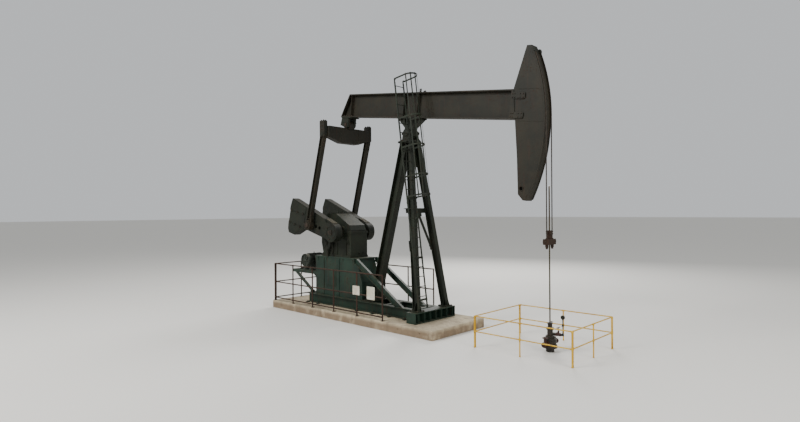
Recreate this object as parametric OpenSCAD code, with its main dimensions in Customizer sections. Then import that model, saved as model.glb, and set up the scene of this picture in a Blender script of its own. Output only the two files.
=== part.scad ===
// Beam pumping unit over an oil well. +X points from the post to the well,
// +Z is up, and the origin is on the ground below the centre bearing.

/* [Foundation] */
// How far the concrete block reaches behind the motor platform
foundation_margin = 180; // [150:10:600]
// Width of the concrete block
foundation_w = 2600; // [2560:20:3200]
// Height of the concrete block above the ground
foundation_h = 290; // [200:10:500]
// How far the block reaches in front of the centre bearing
foundation_front = 2000; // [1500:50:2400]

/* [Base] */
// Height of the steel base
base_h = 340; // [260:10:400]
// Width over the two long rails
base_w = 1150; // [1000:10:1200]
// Flange width of the long rails
rail_flange = 200; // [150:10:260]
// How far the rails reach behind the centre bearing
base_rear = 5000; // [4900:50:5400]
// Length of the cross beam at the front end
cross_beam_l = 1960; // [1800:20:2200]
// Width of the cross beam at the front end
cross_beam_w = 380; // [340:10:460]

/* [Post] */
// Height of the centre bearing above the ground
bearing_z = 6370; // [6000:10:6700]
// How far the front feet stand in front of the bearing
front_foot_x = 870; // [800:10:950]
// Half the distance between the front feet
front_foot_y = 700; // [640:10:760]
// How far the rear foot stands behind the bearing
rear_foot_x = 1720; // [1600:10:1800]
// Depth of the front legs
front_leg_d = 220; // [180:10:260]
// Depth of the rear leg
rear_leg_d = 310; // [250:10:340]
// Height of the bearing above the plate on the post
bearing_rise = 260; // [240:10:320]
// Height of the girt between the front legs
girt_z = 3800; // [3400:50:4200]

/* [Walking beam] */
// Tilt of the beam at rest, head down
head_down = 7.8; // [5:0.1:10]
// Depth of the beam
beam_d = 830; // [700:5:850]
// Flange width of the beam
beam_w = 320; // [260:10:400]
// Height of the beam's underside above the bearing
beam_rise = 510; // [480:5:560]
// How far the beam reaches behind the bearing
beam_rear = 3516; // [3450:10:3800]
// How far the top flange is cut back at the rear end
beam_cut = 410; // [200:10:450]
// Distance from the bearing to the head along the underside
beam_front = 4045; // [3950:5:4100]

/* [Horsehead] */
// Radius of the curved face about the bearing
head_r = 5000; // [4900:10:5100]
// Width of the head
head_w = 320; // [280:10:400]
// Angle of the face above the beam's line
face_up = 29.5; // [26:0.5:31]
// Angle of the face below the beam's line
face_down = 19.5; // [17:0.5:20]
// Thickness of the two tracks that carry the cables
track_t = 14; // [8:1:20]
// Radius of a bridle cable
cable_r = 16; // [12:1:20]
// Distance between the two cables
cable_gap = 296; // [240:4:300]

/* [Tail bearing and equalizer] */
// Distance of the tail bearing behind the centre bearing
tail_x = 3150; // [3000:10:3200]
// Height of the tail bearing above the centre bearing's line
tail_z = 220; // [180:10:260]
// Drop from the tail bearing to the top of the equalizer
equalizer_drop = 130; // [120:5:180]
// Depth of the equalizer at its ends
equalizer_end_d = 390; // [300:10:450]
// Depth of the equalizer at its middle
equalizer_mid_d = 570; // [500:10:650]
// Width of the equalizer
equalizer_w = 260; // [200:10:300]

/* [Pitmans and cranks] */
// Half the distance between the pitmans
pitman_y = 1085; // [1075:5:1120]
// Depth of a pitman
pitman_d = 200; // [160:5:240]
// Width of a pitman across its flanges
pitman_w = 150; // [120:5:160]
// How far behind the centre bearing the crankshaft stands
crank_x = 3100; // [3000:10:3200]
// Height of the crankshaft above the ground
crank_z = 3020; // [2980:10:3200]
// Radius from the crankshaft to the crank pin
crank_r = 1120; // [1080:10:1160]
// Angle of the crank above the horizontal at rest
crank_up = 13.9; // [8:0.1:20]
// Reach of the crank arm
crank_reach = 2620; // [2400:10:2640]
// Thickness of the cranks and counterweights
crank_t = 280; // [220:10:300]
// Distance from the middle to the inner face of a crank
crank_inner = 660; // [650:10:680]
// Radius of the crankshaft
shaft_r = 100; // [80:5:130]
// Radius of the crank pin
pin_r = 70; // [55:5:90]
// Spacing of the spare pin holes towards the shaft
hole_step = 230; // [220:5:260]

/* [Gear case] */
// Height of the top of the pedestal above the ground
pedestal_z = 2100; // [1950:10:2200]
// Width of the pedestal
pedestal_w = 880; // [760:10:900]
// How far behind the bearing the pedestal starts
pedestal_rear = 4620; // [4560:10:4800]
// How far behind the bearing the pedestal's deck ends
pedestal_front = 2250; // [2200:10:2400]
// Width of the gear case
case_w = 800; // [700:10:820]
// Radius of the case round the slow gear
case_r = 720; // [650:10:740]
// Distance from the crankshaft back to the input shaft
input_back = 760; // [720:10:800]
// How far the input shaft lies below the crankshaft
input_drop = 420; // [400:10:430]
// Radius of the input shaft
input_r = 55; // [45:1:65]
// Radius of the input sheave
input_sheave_r = 420; // [360:10:440]
// Width of both sheaves
sheave_w = 110; // [90:5:120]

/* [Motor] */
// Height of the motor platform above the ground
platform_z = 1480; // [1350:10:1550]
// Length of the motor platform
platform_l = 1500; // [1400:10:1600]
// How far behind the bearing the motor stands
motor_x = 5400; // [5300:10:5450]
// Radius of the motor
motor_r = 270; // [240:5:290]
// Length of the motor body
motor_l = 760; // [700:10:800]
// Radius of the motor sheave
motor_sheave_r = 130; // [110:5:150]

/* [Guard rails] */
// Height of the crank guard above its foundation
guard_h = 1470; // [1300:10:1600]
// Half the distance between the crank guards
guard_y = 1262; // [1255:1:1275]
// Pipe diameter of the crank guard
guard_pipe = 48; // [34:1:56]
// Distance from the rear crank guard to the block's rear end
guard_inset = 100; // [60:10:120]
// How far behind the bearing the crank guard starts
guard_front = 100; // [0:10:400]
// Height of the well rail
well_rail_h = 890; // [800:10:1100]
// Length of the well rail along the unit
well_rail_l = 2850; // [2600:10:3200]
// Width of the well rail
well_rail_w = 2400; // [2200:10:2800]
// How far in front of the bearing the well rail starts
well_rail_x = 3300; // [3200:10:3500]
// How far the well rail is set off towards the far side
well_rail_off = 170; // [100:10:250]

/* [Ladder] */
// Clear width of the ladder
ladder_w = 400; // [360:10:450]
// Distance between rungs
rung_step = 305; // [290:5:310]
// How far the ladder is set off towards the near side
ladder_off = 600; // [560:10:640]
// Distance of the ladder from the front of the legs
ladder_stand = 80; // [70:5:130]
// Height of the top of the ladder above the ground
ladder_top = 7950; // [7800:10:8100]
// Height of the bottom of the ladder cage above the ground
cage_bottom = 4200; // [3000:10:4400]
// Distance between the hoops of the cage
hoop_step = 944; // [850:2:1000]
// Depth of the ladder cage
cage_d = 700; // [640:10:760]

/* [Well] */
// Height of the stuffing box top above the ground
stuffing_top = 770; // [700:10:900]
// Radius of the polished rod
rod_r = 19; // [14:1:22]
// Height of the carrier bar above the ground at rest
carrier_z = 2860; // [2700:10:3000]
// Height of the rod's top above the ground at rest
rod_top = 4430; // [4200:10:4600]

/* [Clearances] */
// Gap between seated pieces
seat = 0.3; // [0.2:0.05:0.5]
// Running clearance at shafts and pins
run_gap = 0.08; // [0.05:0.01:0.1]
// Gap between a crank pin and the face of its crank
pin_gap = 8; // [6:1:15]

/* [Hidden] */

near = -1;
far = 1;
base_top = foundation_h + base_h;
rod_x = head_r + track_t + cable_r;
post_z = bearing_z - bearing_rise;
plate_t = 40;
platform_front = pedestal_rear + seat;
platform_rear = platform_front + platform_l;
foundation_rear = platform_rear + foundation_margin;
guard_rear = foundation_rear - guard_inset;

// A round or few-sided bar from point a to point b
module bar(a, b, r, sides = 8) {
    v = b - a;
    translate(a) rotate([0, acos(v.z / norm(v)), atan2(v.y, v.x)])
        cylinder(h = norm(v), r = r, $fn = sides);
}

// An I section, web along y, centred
module i_profile(depth, width, web, flange) {
    square([web, depth], center = true);
    for (side = [-1, 1]) translate([0, side * (depth - flange) / 2])
        square([width, flange], center = true);
}

// An I beam along +X from the origin, depth along Z
module i_beam(length, depth, width, web, flange) {
    rotate([90, 0, 90]) linear_extrude(length) i_profile(depth, width, web, flange);
}

// An I beam from a up to b and a little past both, its flanges to the front and rear
module leg_beam(a, b, depth, width, web, flange) {
    v = b - a;
    translate(a) rotate([atan2(-v.y, v.z), 0, 0]) rotate([0, asin(v.x / norm(v)), 0])
        translate([0, 0, -depth]) linear_extrude(norm(v) + 2 * depth)
            rotate([0, 0, 90]) i_profile(depth, width, web, flange);
}

// Everything between two heights
module slab(z0, z1) {
    translate([-20000, -20000, z0]) cube([40000, 40000, z1 - z0]);
}

// Moves from the beam's own axes to the rest pose
module on_beam() {
    translate([0, 0, bearing_z]) rotate([0, head_down, 0]) children();
}

// A plate cut from an outline in the XZ plane, t thick about y
module side_plate(y, t) {
    translate([0, y + t / 2, 0]) rotate([90, 0, 0]) linear_extrude(t) children();
}

module foundation() {
    chamfer = 25;
    w = foundation_w / 2;
    foundation_l = foundation_rear + foundation_front;
    color([0.62, 0.56, 0.46]) translate([-foundation_rear, 0, 0])
        rotate([90, 0, 90]) linear_extrude(foundation_l)
            polygon([[-w, 0], [w, 0], [w, foundation_h - chamfer], [w - chamfer, foundation_h],
                [chamfer - w, foundation_h], [-w, foundation_h - chamfer]]);
}

cross_x = front_foot_x - cross_beam_w / 2;
rail_y = (base_w - rail_flange) / 2;

module base() {
    web = 16;
    flange = 24;
    depth = base_h - seat;
    rails_l = base_rear + cross_x - seat;
    cross_members = [60, rails_l * 0.26, rails_l * 0.46, base_rear - rear_foot_x, rails_l * 0.74, rails_l - 160];
    color([0.13, 0.20, 0.16]) translate([-base_rear, 0, foundation_h + seat + depth / 2]) {
        for (side = [near, far]) translate([0, side * rail_y, 0])
            i_beam(rails_l, depth, rail_flange, web, flange);
        for (x = cross_members) translate([x, -rail_y, 0])
            rotate([0, 0, 90]) i_beam(2 * rail_y, depth, 140, web, flange);
    }
}

module front_cross_beam() {
    depth = base_h - seat;
    end_t = 20;
    color([0.13, 0.20, 0.16]) {
        translate([front_foot_x, -cross_beam_l / 2, foundation_h + seat + depth / 2])
            rotate([0, 0, 90]) i_beam(cross_beam_l, depth, cross_beam_w, 20, 28);
        for (side = [near, far])
            translate([cross_x, side * cross_beam_l / 2 - (side + 1) / 2 * end_t, foundation_h + seat])
                cube([cross_beam_w, end_t, depth]);
    }
}

deck_t = 50;
brace_rear = pedestal_front;
skirt_x = -rear_foot_x - 250;
skirt_z = base_top + 640;

module pedestal() {
    color([0.12, 0.19, 0.16]) {
        side_plate(0, pedestal_w) polygon([[-pedestal_rear, base_top + seat],
            [skirt_x, base_top + seat], [skirt_x, skirt_z],
            [-pedestal_front, pedestal_z - deck_t], [-pedestal_rear, pedestal_z - deck_t]]);
        translate([-pedestal_rear - 20, -pedestal_w / 2 - 20, pedestal_z - deck_t])
            cube([pedestal_rear - pedestal_front + 60, pedestal_w + 40, deck_t]);
        for (side = [near, far]) for (x = [-pedestal_rear + 500, -pedestal_rear + 1400])
            translate([x, side * (pedestal_w / 2 + 3) - 15, base_top + seat])
                cube([16, 30, pedestal_z - deck_t - base_top]);
    }
}

// Sloping struts from the deck down to the base behind the front cross beam
module pedestal_braces() {
    y = pedestal_w / 2 + 75;
    low = [-50, y, base_top];
    high = [-pedestal_front + 40, y, pedestal_z - 60];
    color([0.16, 0.22, 0.17]) for (side = [near, far]) {
        intersection() {
            leg_beam([low.x, side * y, low.z], [high.x, side * y, high.z], 200, 100, 12, 16);
            slab(base_top + seat, pedestal_z - seat);
            translate([high.x - 40, -5000, 0]) cube([8000, 10000, 8000]);
        }
        translate([high.x - 40, side * (pedestal_w / 2 + 20 + seat + 60) - 60, pedestal_z - 180])
            cube([30, 120, 180 - seat]);
    }
}

shaft_x = -crank_x;
input_z = crank_z - input_drop;

module case_bore(r) {
    translate([shaft_x, 0, crank_z]) rotate([90, 0, 0])
        cylinder(h = 3000, r = r, center = true, $fn = 48);
}

module input_bore(r) {
    translate([shaft_x - input_back, 0, input_z]) rotate([90, 0, 0])
        cylinder(h = 3000, r = r, center = true, $fn = 32);
}

case_front = shaft_x + 500;
case_rear = shaft_x - input_back - 440;

hump_rear = shaft_x - 860;
hump_front = shaft_x - 370;

module gear_case() {
    foot_h = 70;
    color([0.14, 0.17, 0.13]) difference() {
        union() {
            side_plate(0, case_w) polygon([[case_rear, crank_z - seat / 2],
                [case_rear, crank_z - 420], [case_rear + 130, pedestal_z + seat],
                [case_front, pedestal_z + seat], [case_front, crank_z - seat / 2]]);
            translate([case_rear - 40, -case_w / 2 - 20, crank_z - seat / 2 - 40])
                cube([case_front - case_rear + 80, case_w + 40, 40]);
            translate([case_rear + 60, -pedestal_w / 2 + 5, pedestal_z + seat])
                cube([case_front - case_rear - 60, pedestal_w - 10, foot_h]);
            translate([shaft_x, 0, crank_z]) rotate([90, 0, 0]) intersection() {
                cylinder(h = case_w + 120, r = 230, center = true, $fn = 48);
                translate([-500, -1000 - seat / 2, -1000]) cube([1000, 1000, 2000]);
            }
        }
        case_bore(shaft_r + run_gap);
        input_bore(input_r + seat);
    }
}

module gear_case_cover() {
    color([0.14, 0.17, 0.13]) difference() {
        union() {
            side_plate(0, case_w - 60) polygon([[case_rear + 20, crank_z + seat / 2],
                [case_rear + 20, crank_z + 330], [hump_rear, crank_z + case_r - 30],
                [hump_front, crank_z + case_r - 30], [case_front - 110, crank_z + 260],
                [case_front - 20, crank_z + 80], [case_front - 20, crank_z + seat / 2]]);
            translate([case_rear - 40, -case_w / 2 - 20, crank_z + seat / 2])
                cube([case_front - case_rear + 80, case_w + 40, 40]);
            translate([shaft_x, 0, crank_z]) rotate([90, 0, 0]) intersection() {
                cylinder(h = case_w + 120, r = 230, center = true, $fn = 48);
                translate([-500, seat / 2, -1000]) cube([1000, 1000, 2000]);
            }
            translate([hump_rear + 20, -200, crank_z + case_r - 60]) cube([340, 400, 60]);
            translate([hump_front - 60, 0, crank_z + case_r - 60]) cylinder(h = 150, r = 34, $fn = 24);
        }
        case_bore(shaft_r + run_gap);
    }
}

module motor_stand() {
    t = 120;
    half = pedestal_w / 2;
    color([0.12, 0.18, 0.15]) {
        difference() {
            translate([-platform_rear, -half, platform_z - t]) cube([platform_l, 2 * half, t]);
            translate([-platform_rear + 100, -half + 100, platform_z - t - 1])
                cube([platform_l - 200, half - 160, t + 2]);
        }
        for (side = [near, far]) {
            bar([-base_rear + 70, side * (half - 60), base_top + seat + 70],
                [-platform_rear + 140, side * (half - 60), platform_z - t + 20], 60, 12);
            translate([-base_rear + 10, side * (half - 60) - 60, base_top + seat])
                cube([140, 120, 90]);
        }
    }
}

sheave_y = case_w / 2 + 60 + sheave_w / 2 + 16;
motor_z = platform_z + 45 + motor_r + 60;
motor_gap = 11;
motor_cap = 35;

module motor() {
    cap_y = sheave_y - sheave_w / 2 - motor_gap - motor_cap;
    rear_y = cap_y + 10 - motor_l;
    color([0.16, 0.19, 0.18]) {
        translate([-motor_x, rear_y, motor_z]) rotate([-90, 0, 0])
            cylinder(h = motor_l, r = motor_r, $fn = 40);
        translate([-motor_x, cap_y, motor_z]) rotate([-90, 0, 0])
            cylinder(h = motor_cap, r = motor_r * 0.5, $fn = 32);
        translate([-motor_x, rear_y - 80, motor_z]) rotate([-90, 0, 0])
            cylinder(h = 90, r = motor_r * 0.94, $fn = 40);
        translate([-motor_x, cap_y - 50, motor_z]) rotate([-90, 0, 0])
            cylinder(h = 50 + motor_cap + motor_gap + sheave_w, r = 35, $fn = 24);
        for (side = [-1, 1]) translate([-motor_x + side * 190 - 55, rear_y + 20, platform_z + seat])
            cube([110, motor_l - 120, 190]);
        translate([-motor_x + motor_r - 40, rear_y + motor_l / 2 - 130, motor_z - 60]) cube([170, 260, 210]);
    }
}

module sheave(x, z, r, bore) {
    translate([x, sheave_y, z]) rotate([90, 0, 0]) difference() {
        cylinder(h = sheave_w, r = r, center = true, $fn = 64);
        cylinder(h = sheave_w + 2, r = bore, center = true, $fn = 32);
        if (r == input_sheave_r) for (k = [0 : 5]) rotate([0, 0, 60 * k]) translate([r * 0.6, 0, 0])
            cylinder(h = sheave_w + 2, r = r * 0.19, center = true, $fn = 32);
    }
}

module belt_sheaves() {
    color([0.10, 0.11, 0.10]) {
        sheave(-motor_x, motor_z, motor_sheave_r, 35 + seat);
        sheave(shaft_x - input_back, input_z, input_sheave_r, input_r - 5);
        translate([shaft_x - input_back, case_w / 2 - 100, input_z]) rotate([-90, 0, 0])
            cylinder(h = sheave_y - case_w / 2 + 100 + sheave_w / 2 + 8, r = input_r, $fn = 32);
    }
}

// A fixed loop of four belts side by side round both sheaves
module drive_belts() {
    belt_t = 14;
    belt_w = 20;
    run = [motor_x - crank_x - input_back, input_z - motor_z];
    dist = norm(run);
    tilt = atan2(run.y, run.x);
    spread = asin((input_sheave_r - motor_sheave_r) / dist);
    color([0.05, 0.05, 0.05]) for (k = [0 : 3])
        translate([-motor_x, sheave_y + (k - 1.5) * 26 + belt_w / 2, motor_z])
            rotate([90, 0, 0]) linear_extrude(belt_w) rotate(tilt) difference() {
                polygon(belt_loop(dist, spread, seat + belt_t));
                polygon(belt_loop(dist, spread, seat + 1));
            }
}

// Points of an arc from one angle to another, in 24 steps
function arc_points(r, from, to) = [for (k = [0 : 24]) let (a = from + k * (to - from) / 24)
    r * [cos(a), sin(a)]];

// Outline of a belt round both sheaves, grown by some distance
function belt_loop(dist, spread, grow) = concat(
    arc_points(motor_sheave_r + grow, 90 + spread, 270 - spread),
    [for (p = arc_points(input_sheave_r + grow, 270 - spread, 450 + spread)) p + [dist, 0]]);

// Sheet cover outside the belts, held on brackets from the deck and the platform
module belt_guard() {
    t = 4;
    face_y = sheave_y + sheave_w / 2 + 18;
    run = [motor_x - crank_x - input_back, input_z - motor_z];
    tilt = atan2(run.y, run.x);
    color([0.15, 0.19, 0.15]) {
        translate([-motor_x, face_y + t, motor_z]) rotate([90, 0, 0])
            linear_extrude(t) rotate(tilt) guard_outline(norm(run), 0);
        translate([-motor_x, face_y, motor_z]) rotate([90, 0, 0])
            linear_extrude(sheave_w + 20) rotate(tilt) difference() {
                guard_outline(norm(run), 0);
                guard_outline(norm(run), -t);
            }
        translate([-motor_x - 30, pedestal_w / 2 + seat, platform_z - 100])
            cube([60, face_y + t - pedestal_w / 2 - seat, motor_z - motor_sheave_r - 58 - platform_z + 100]);
        translate([shaft_x - input_back - 30, pedestal_w / 2 + 20 + seat, pedestal_z - deck_t])
            cube([60, face_y + t - pedestal_w / 2 - 20 - seat, input_z - input_sheave_r - 58 - pedestal_z + deck_t]);
    }
}

module guard_outline(dist, grow) {
    margin = 60 + grow;
    circle(r = motor_sheave_r + margin, $fn = 48);
    translate([dist, 0]) circle(r = input_sheave_r + margin, $fn = 64);
    polygon([[0, motor_sheave_r + margin], [0, -motor_sheave_r - margin],
        [dist, -input_sheave_r - margin], [dist, input_sheave_r + margin]]);
}

module brake() {
    drum_y = -case_w / 2 - 75;
    color([0.13, 0.15, 0.12]) {
        translate([shaft_x - input_back, drum_y, input_z]) rotate([90, 0, 0])
            cylinder(h = 100, r = 250, center = true, $fn = 48);
        translate([shaft_x - input_back, -case_w / 2 + 100, input_z]) rotate([90, 0, 0])
            cylinder(h = 140, r = input_r, $fn = 32);
        translate([shaft_x - input_back - 60, drum_y - 40, pedestal_z + seat]) cube([120, 78, 300]);
    }
}

leg_top_x = 120;
leg_top_y = 175;
leg_flange = 160;
foot_t = 30;

module front_leg(side) {
    low = [front_foot_x, side * front_foot_y, base_top];
    high = [leg_top_x, side * leg_top_y, post_z - plate_t];
    color([0.12, 0.16, 0.13]) {
        intersection() {
            leg_beam(low, high, front_leg_d, leg_flange, 14, 18);
            slab(base_top + seat, post_z - plate_t - seat);
        }
        translate([low.x - 170, low.y - 170, base_top + seat]) cube([340, 340, foot_t]);
        translate([high.x - 125, high.y - side * 5 - 95, post_z - plate_t - seat - foot_t])
            cube([250, 190, foot_t]);
    }
}

module near_front_leg() { front_leg(near); }
module far_front_leg() { front_leg(far); }

rear_top_x = -210;

module rear_leg() {
    low = [-rear_foot_x, 0, base_top];
    high = [rear_top_x, 0, post_z - plate_t];
    color([0.12, 0.16, 0.13]) {
        intersection() {
            leg_beam(low, high, rear_leg_d, 260, 14, 18);
            slab(base_top + seat, post_z - plate_t - seat);
        }
        translate([low.x - 220, -rail_y - 60, base_top + seat]) cube([440, 2 * rail_y + 120, foot_t]);
    }
}

// Place on the front leg's centre line at height z
function leg_point(z, side) = let (k = (z - base_top) / (post_z - plate_t - base_top))
    [front_foot_x + k * (leg_top_x - front_foot_x), side * (front_foot_y + k * (leg_top_y - front_foot_y)), z];

// Slope of the front legs in the XZ plane, and the plane of their front flanges
leg_slope = atan2(front_foot_x - leg_top_x, post_z - plate_t - base_top);

// Moves to the front flanges at height z: x points out of them, z runs up along them
module on_leg_front(z) {
    p = leg_point(z, near);
    translate([p.x + front_leg_d / 2 / cos(leg_slope), 0, z]) rotate([0, -leg_slope, 0])
        translate([1.2, 0, 0]) children();
}

// Moves to the rear flanges at height z: x points out of them to the rear
module on_leg_rear(z) {
    p = leg_point(z, near);
    translate([p.x - front_leg_d / 2 / cos(leg_slope), 0, z]) rotate([0, -leg_slope, 0])
        translate([-1.2, 0, 0]) mirror([1, 0, 0]) children();
}

// A girt across the rear flanges with two knees down from its middle
module leg_bracing() {
    drop = 1150;
    y_top = -leg_point(girt_z, near).y;
    y_low = -leg_point(girt_z - drop, near).y;
    color([0.12, 0.16, 0.13]) on_leg_rear(girt_z) {
        translate([0, -y_top - 190, -80]) cube([16, 2 * (y_top + 190), 160]);
        translate([16, -y_top - 190, 64]) cube([84, 2 * (y_top + 190), 16]);
        translate([0, -150, -190]) cube([16, 300, 200]);
        for (side = [near, far]) {
            translate([0, side * y_low - 100, -drop - 170]) cube([16, 200, 340]);
            bar([45, side * 40, -100], [45, side * (y_low - 30), -drop], 42, 8);
            translate([0, side * 60 - 40, -190]) cube([60, 80, 120]);
            translate([0, side * (y_low - 40) - 45, -drop - 60]) cube([60, 90, 150]);
        }
    }
}

// The plate on the legs, and the gussets that close the apex below it
module post_top() {
    gusset_z = post_z - 860;
    y_low = -leg_point(gusset_z, near).y + 40;
    y_high = -leg_point(post_z - 90, near).y + 40;
    rise = (post_z - 90 - gusset_z) / cos(leg_slope);
    color([0.12, 0.16, 0.13]) {
        translate([0, 0, post_z - plate_t]) linear_extrude(plate_t - seat)
            polygon([[-400, -200], [-260, -330], [150, -330], [290, -200],
                [290, 200], [150, 330], [-260, 330], [-400, 200]]);
        on_leg_rear(gusset_z) rotate([90, 0, 90]) linear_extrude(14)
            polygon([[-y_low, 0], [y_low, 0], [y_high, rise], [-y_high, rise]]);
        side_plate(0, 16) polygon([[leg_point(gusset_z, near).x - 145, gusset_z + 20],
            [leg_point(post_z - 60, near).x - 145, post_z - plate_t + 5],
            [rear_top_x + 175, post_z - plate_t + 5], [rear_top_x - 30, gusset_z + 20]]);
    }
}

block_y = 170;
block_t = 90;

module bearing_blocks() {
    color([0.13, 0.15, 0.12]) for (side = [near, far]) difference() {
        side_plate(side * block_y, block_t) difference() {
            union() {
                translate([0, bearing_z]) circle(r = 155, $fn = 48);
                polygon([[-200, post_z], [200, post_z], [154, bearing_z], [-154, bearing_z]]);
                translate([-230, post_z]) square([460, 50]);
            }
            translate([0, bearing_z]) circle(r = 80 + run_gap, $fn = 48);
        }
    }
}

ladder_rail_r = 26;
ladder_low = base_top + 120;
cage_top = ladder_top + 60;
hoop_first = 640;
cage_half = ladder_w / 2 + 40;

// Centre of the ladder at height z, parallel to the front legs and in front of them
function ladder_point(z) = let (k = (front_foot_x - leg_top_x) / (post_z - plate_t - base_top))
    [front_foot_x - k * (z - base_top) + front_leg_d / 2 / cos(leg_slope) + ladder_stand, -ladder_off, z];

module ladder() {
    half = ladder_w / 2;
    rungs = floor((ladder_top - ladder_low - 60) / rung_step);
    low = ladder_point(ladder_low);
    high = ladder_point(ladder_top);
    color([0.14, 0.15, 0.12]) {
        for (side = [-1, 1])
            bar(low + [0, side * half, 0], high + [0, side * half, 0], ladder_rail_r, 12);
        for (n = [0 : rungs]) let (p = ladder_point(ladder_low + 60 + n * rung_step))
            bar(p + [0, -half, 0], p + [0, half, 0], 13, 8);
        for (z = [ladder_low + 250, 2300, 4200, post_z - 350]) on_leg_front(z) {
            y = leg_point(z, near).y;
            translate([0, y - 40, -30]) cube([ladder_stand * cos(leg_slope) - 12, 80, 60]);
            translate([ladder_stand * cos(leg_slope) - 27, -ladder_off - half, -30])
                cube([16, ladder_w + max(0, y + 40 + ladder_off - half), 60]);
        }
    }
}

// Hoops round the climber, bolted on the front of the ladder's rails, with straps inside them
module ladder_cage() {
    length = norm(ladder_point(cage_top) - ladder_point(cage_bottom));
    count = floor((length - hoop_first - 800) / hoop_step);
    color([0.14, 0.15, 0.12]) translate(ladder_point(cage_bottom)) rotate([0, -leg_slope, 0])
        translate([ladder_rail_r + seat, 0, 0]) {
            for (z = concat([0], [for (n = [0 : count]) hoop_first + n * hoop_step], [length]))
                translate([0, 0, z]) cage_hoop();
            for (a = [-82, -41, 0, 41, 82]) translate([cage_d - cage_half, 0, -15])
                rotate([0, 0, a]) translate([cage_half - 15 - seat, -20, 0]) cube([8, 40, length + 80]);
        }
}

// Half a ring from one side to the other, as points every 15 degrees
function half_ring(r, from, to) = [for (k = [0 : 12]) let (a = from + k * (to - from) / 12)
    [cage_d - cage_half + r * cos(a), r * sin(a)]];

module cage_hoop() {
    t = 12;
    outer = cage_half + t / 2;
    inner = cage_half - t / 2;
    foot = ladder_w / 2 - 20;
    linear_extrude(50) polygon(concat([[0, foot], [0, outer]], half_ring(outer, 90, -90),
        [[0, -outer], [0, -foot], [t, -foot], [t, -inner]], half_ring(inner, -90, 90),
        [[t, inner], [t, foot]]));
}

// A rail panel of pipes in the XZ plane at y, from x0 to x1, with its posts
module rail_panel(x0, x1, y, z0, h, posts, levels, r) {
    for (k = [0 : posts - 1]) let (x = x0 + k * (x1 - x0) / (posts - 1))
        translate([x, y, z0]) cylinder(h = h, r = r, $fn = 8);
    for (level = levels) bar([x0, y, z0 + level], [x1, y, z0 + level], r, 8);
}

guard_r = guard_pipe / 2;
guard_z = foundation_h + seat;

module crank_guard(side) {
    color([0.24, 0.15, 0.09])
        rail_panel(-guard_rear, -guard_front, side * guard_y, guard_z, guard_h, 6,
            [120, guard_h / 2, guard_h - guard_r], guard_r);
}

module near_crank_guard() { crank_guard(near); }
module far_crank_guard() { crank_guard(far); }

module rear_crank_guard() {
    reach = guard_y - guard_r - seat;
    color([0.24, 0.15, 0.09]) translate([-guard_rear, 0, 0]) rotate([0, 0, 90])
        rail_panel(-reach + guard_r, reach - guard_r, 0, guard_z, guard_h, 3,
            [120, guard_h / 2, guard_h - guard_r], guard_r);
}

// Bare plates hung on the near crank guard
module sign_plates() {
    y = -guard_y - guard_r - seat;
    color([0.80, 0.79, 0.74]) {
        translate([-1500, y - 3, guard_z + guard_h / 2 - 24]) cube([340, 3, 300]);
        translate([-800, y - 3, guard_z + guard_h / 2 - 110]) cube([370, 3, 420]);
    }
}

rail_r = 22;

module well_side(side) {
    color([0.78, 0.60, 0.10])
        rail_panel(well_rail_x, well_rail_x + well_rail_l, well_rail_off + side * well_rail_w / 2, 0,
            well_rail_h, 3, [well_rail_h / 2, well_rail_h - rail_r], rail_r);
}

module near_well_rail() { well_side(near); }
module far_well_rail() { well_side(far); }

module well_end(x, posts) {
    reach = well_rail_w / 2 - 2 * rail_r - seat;
    color([0.78, 0.60, 0.10]) translate([x, well_rail_off, 0]) rotate([0, 0, 90])
        rail_panel(-reach, reach, 0, 0,
            well_rail_h, posts, [well_rail_h / 2, well_rail_h - rail_r], rail_r);
}

module front_well_rail() { well_end(well_rail_x + well_rail_l, 3); }
module rear_well_rail() { well_end(well_rail_x, 2); }

head_z = 360;

module wellhead() {
    color([0.20, 0.19, 0.15]) translate([rod_x, 0, 0]) difference() {
        union() {
            cylinder(h = head_z, r = 110, $fn = 40);
            translate([0, 0, 110]) cylinder(h = 60, r = 190, $fn = 40);
            translate([0, 0, head_z - 120]) cylinder(h = 55, r = 170, $fn = 40);
            translate([0, 0, head_z - 55]) cylinder(h = 55, r = 170, $fn = 40);
            for (a = [90, 270]) translate([0, 0, 230]) rotate([0, 90, a])
                cylinder(h = 190, r = 45, $fn = 24);
        }
        translate([0, 0, 20]) cylinder(h = head_z, r = rod_r + 30, $fn = 32);
    }
}

module stuffing_box() {
    color([0.26, 0.22, 0.14]) translate([rod_x, 0, head_z + seat]) difference() {
        union() {
            cylinder(h = 60, r = 120, $fn = 40);
            cylinder(h = 230, r = 75, $fn = 32);
            translate([0, 0, 230]) cylinder(h = 60, r = 105, $fn = 8);
            cylinder(h = stuffing_top - head_z, r = 60, $fn = 32);
            translate([0, 0, 130]) rotate([0, 90, 0]) cylinder(h = 170, r = 34, $fn = 24);
        }
        translate([0, 0, -1]) cylinder(h = 900, r = rod_r + seat, $fn = 32);
    }
}

module flow_valves() {
    color([0.30, 0.12, 0.08]) {
        for (side = [near, far]) translate([rod_x, side * (190 + seat), 230]) rotate([side * -90, 0, 0]) {
            cylinder(h = 150, r = 55, $fn = 24);
            cylinder(h = 20, r = 85, $fn = 24);
            translate([0, 0, 150]) cylinder(h = 20, r = 70, $fn = 24);
        }
        for (side = [near, far]) translate([rod_x, side * 270, 280]) {
            cylinder(h = 120, r = 18, $fn = 16);
            translate([0, 0, 110]) cylinder(h = 16, r = 80, $fn = 24);
        }
        translate([rod_x + 170 + seat, 0, head_z + 130]) rotate([0, 90, 0]) cylinder(h = 140, r = 44, $fn = 24);
        translate([rod_x + 240, 0, head_z + 130]) cylinder(h = 190, r = 15, $fn = 16);
        translate([rod_x + 240, -90, head_z + 310]) rotate([-90, 0, 0]) cylinder(h = 180, r = 14, $fn = 16);
    }
}

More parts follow.
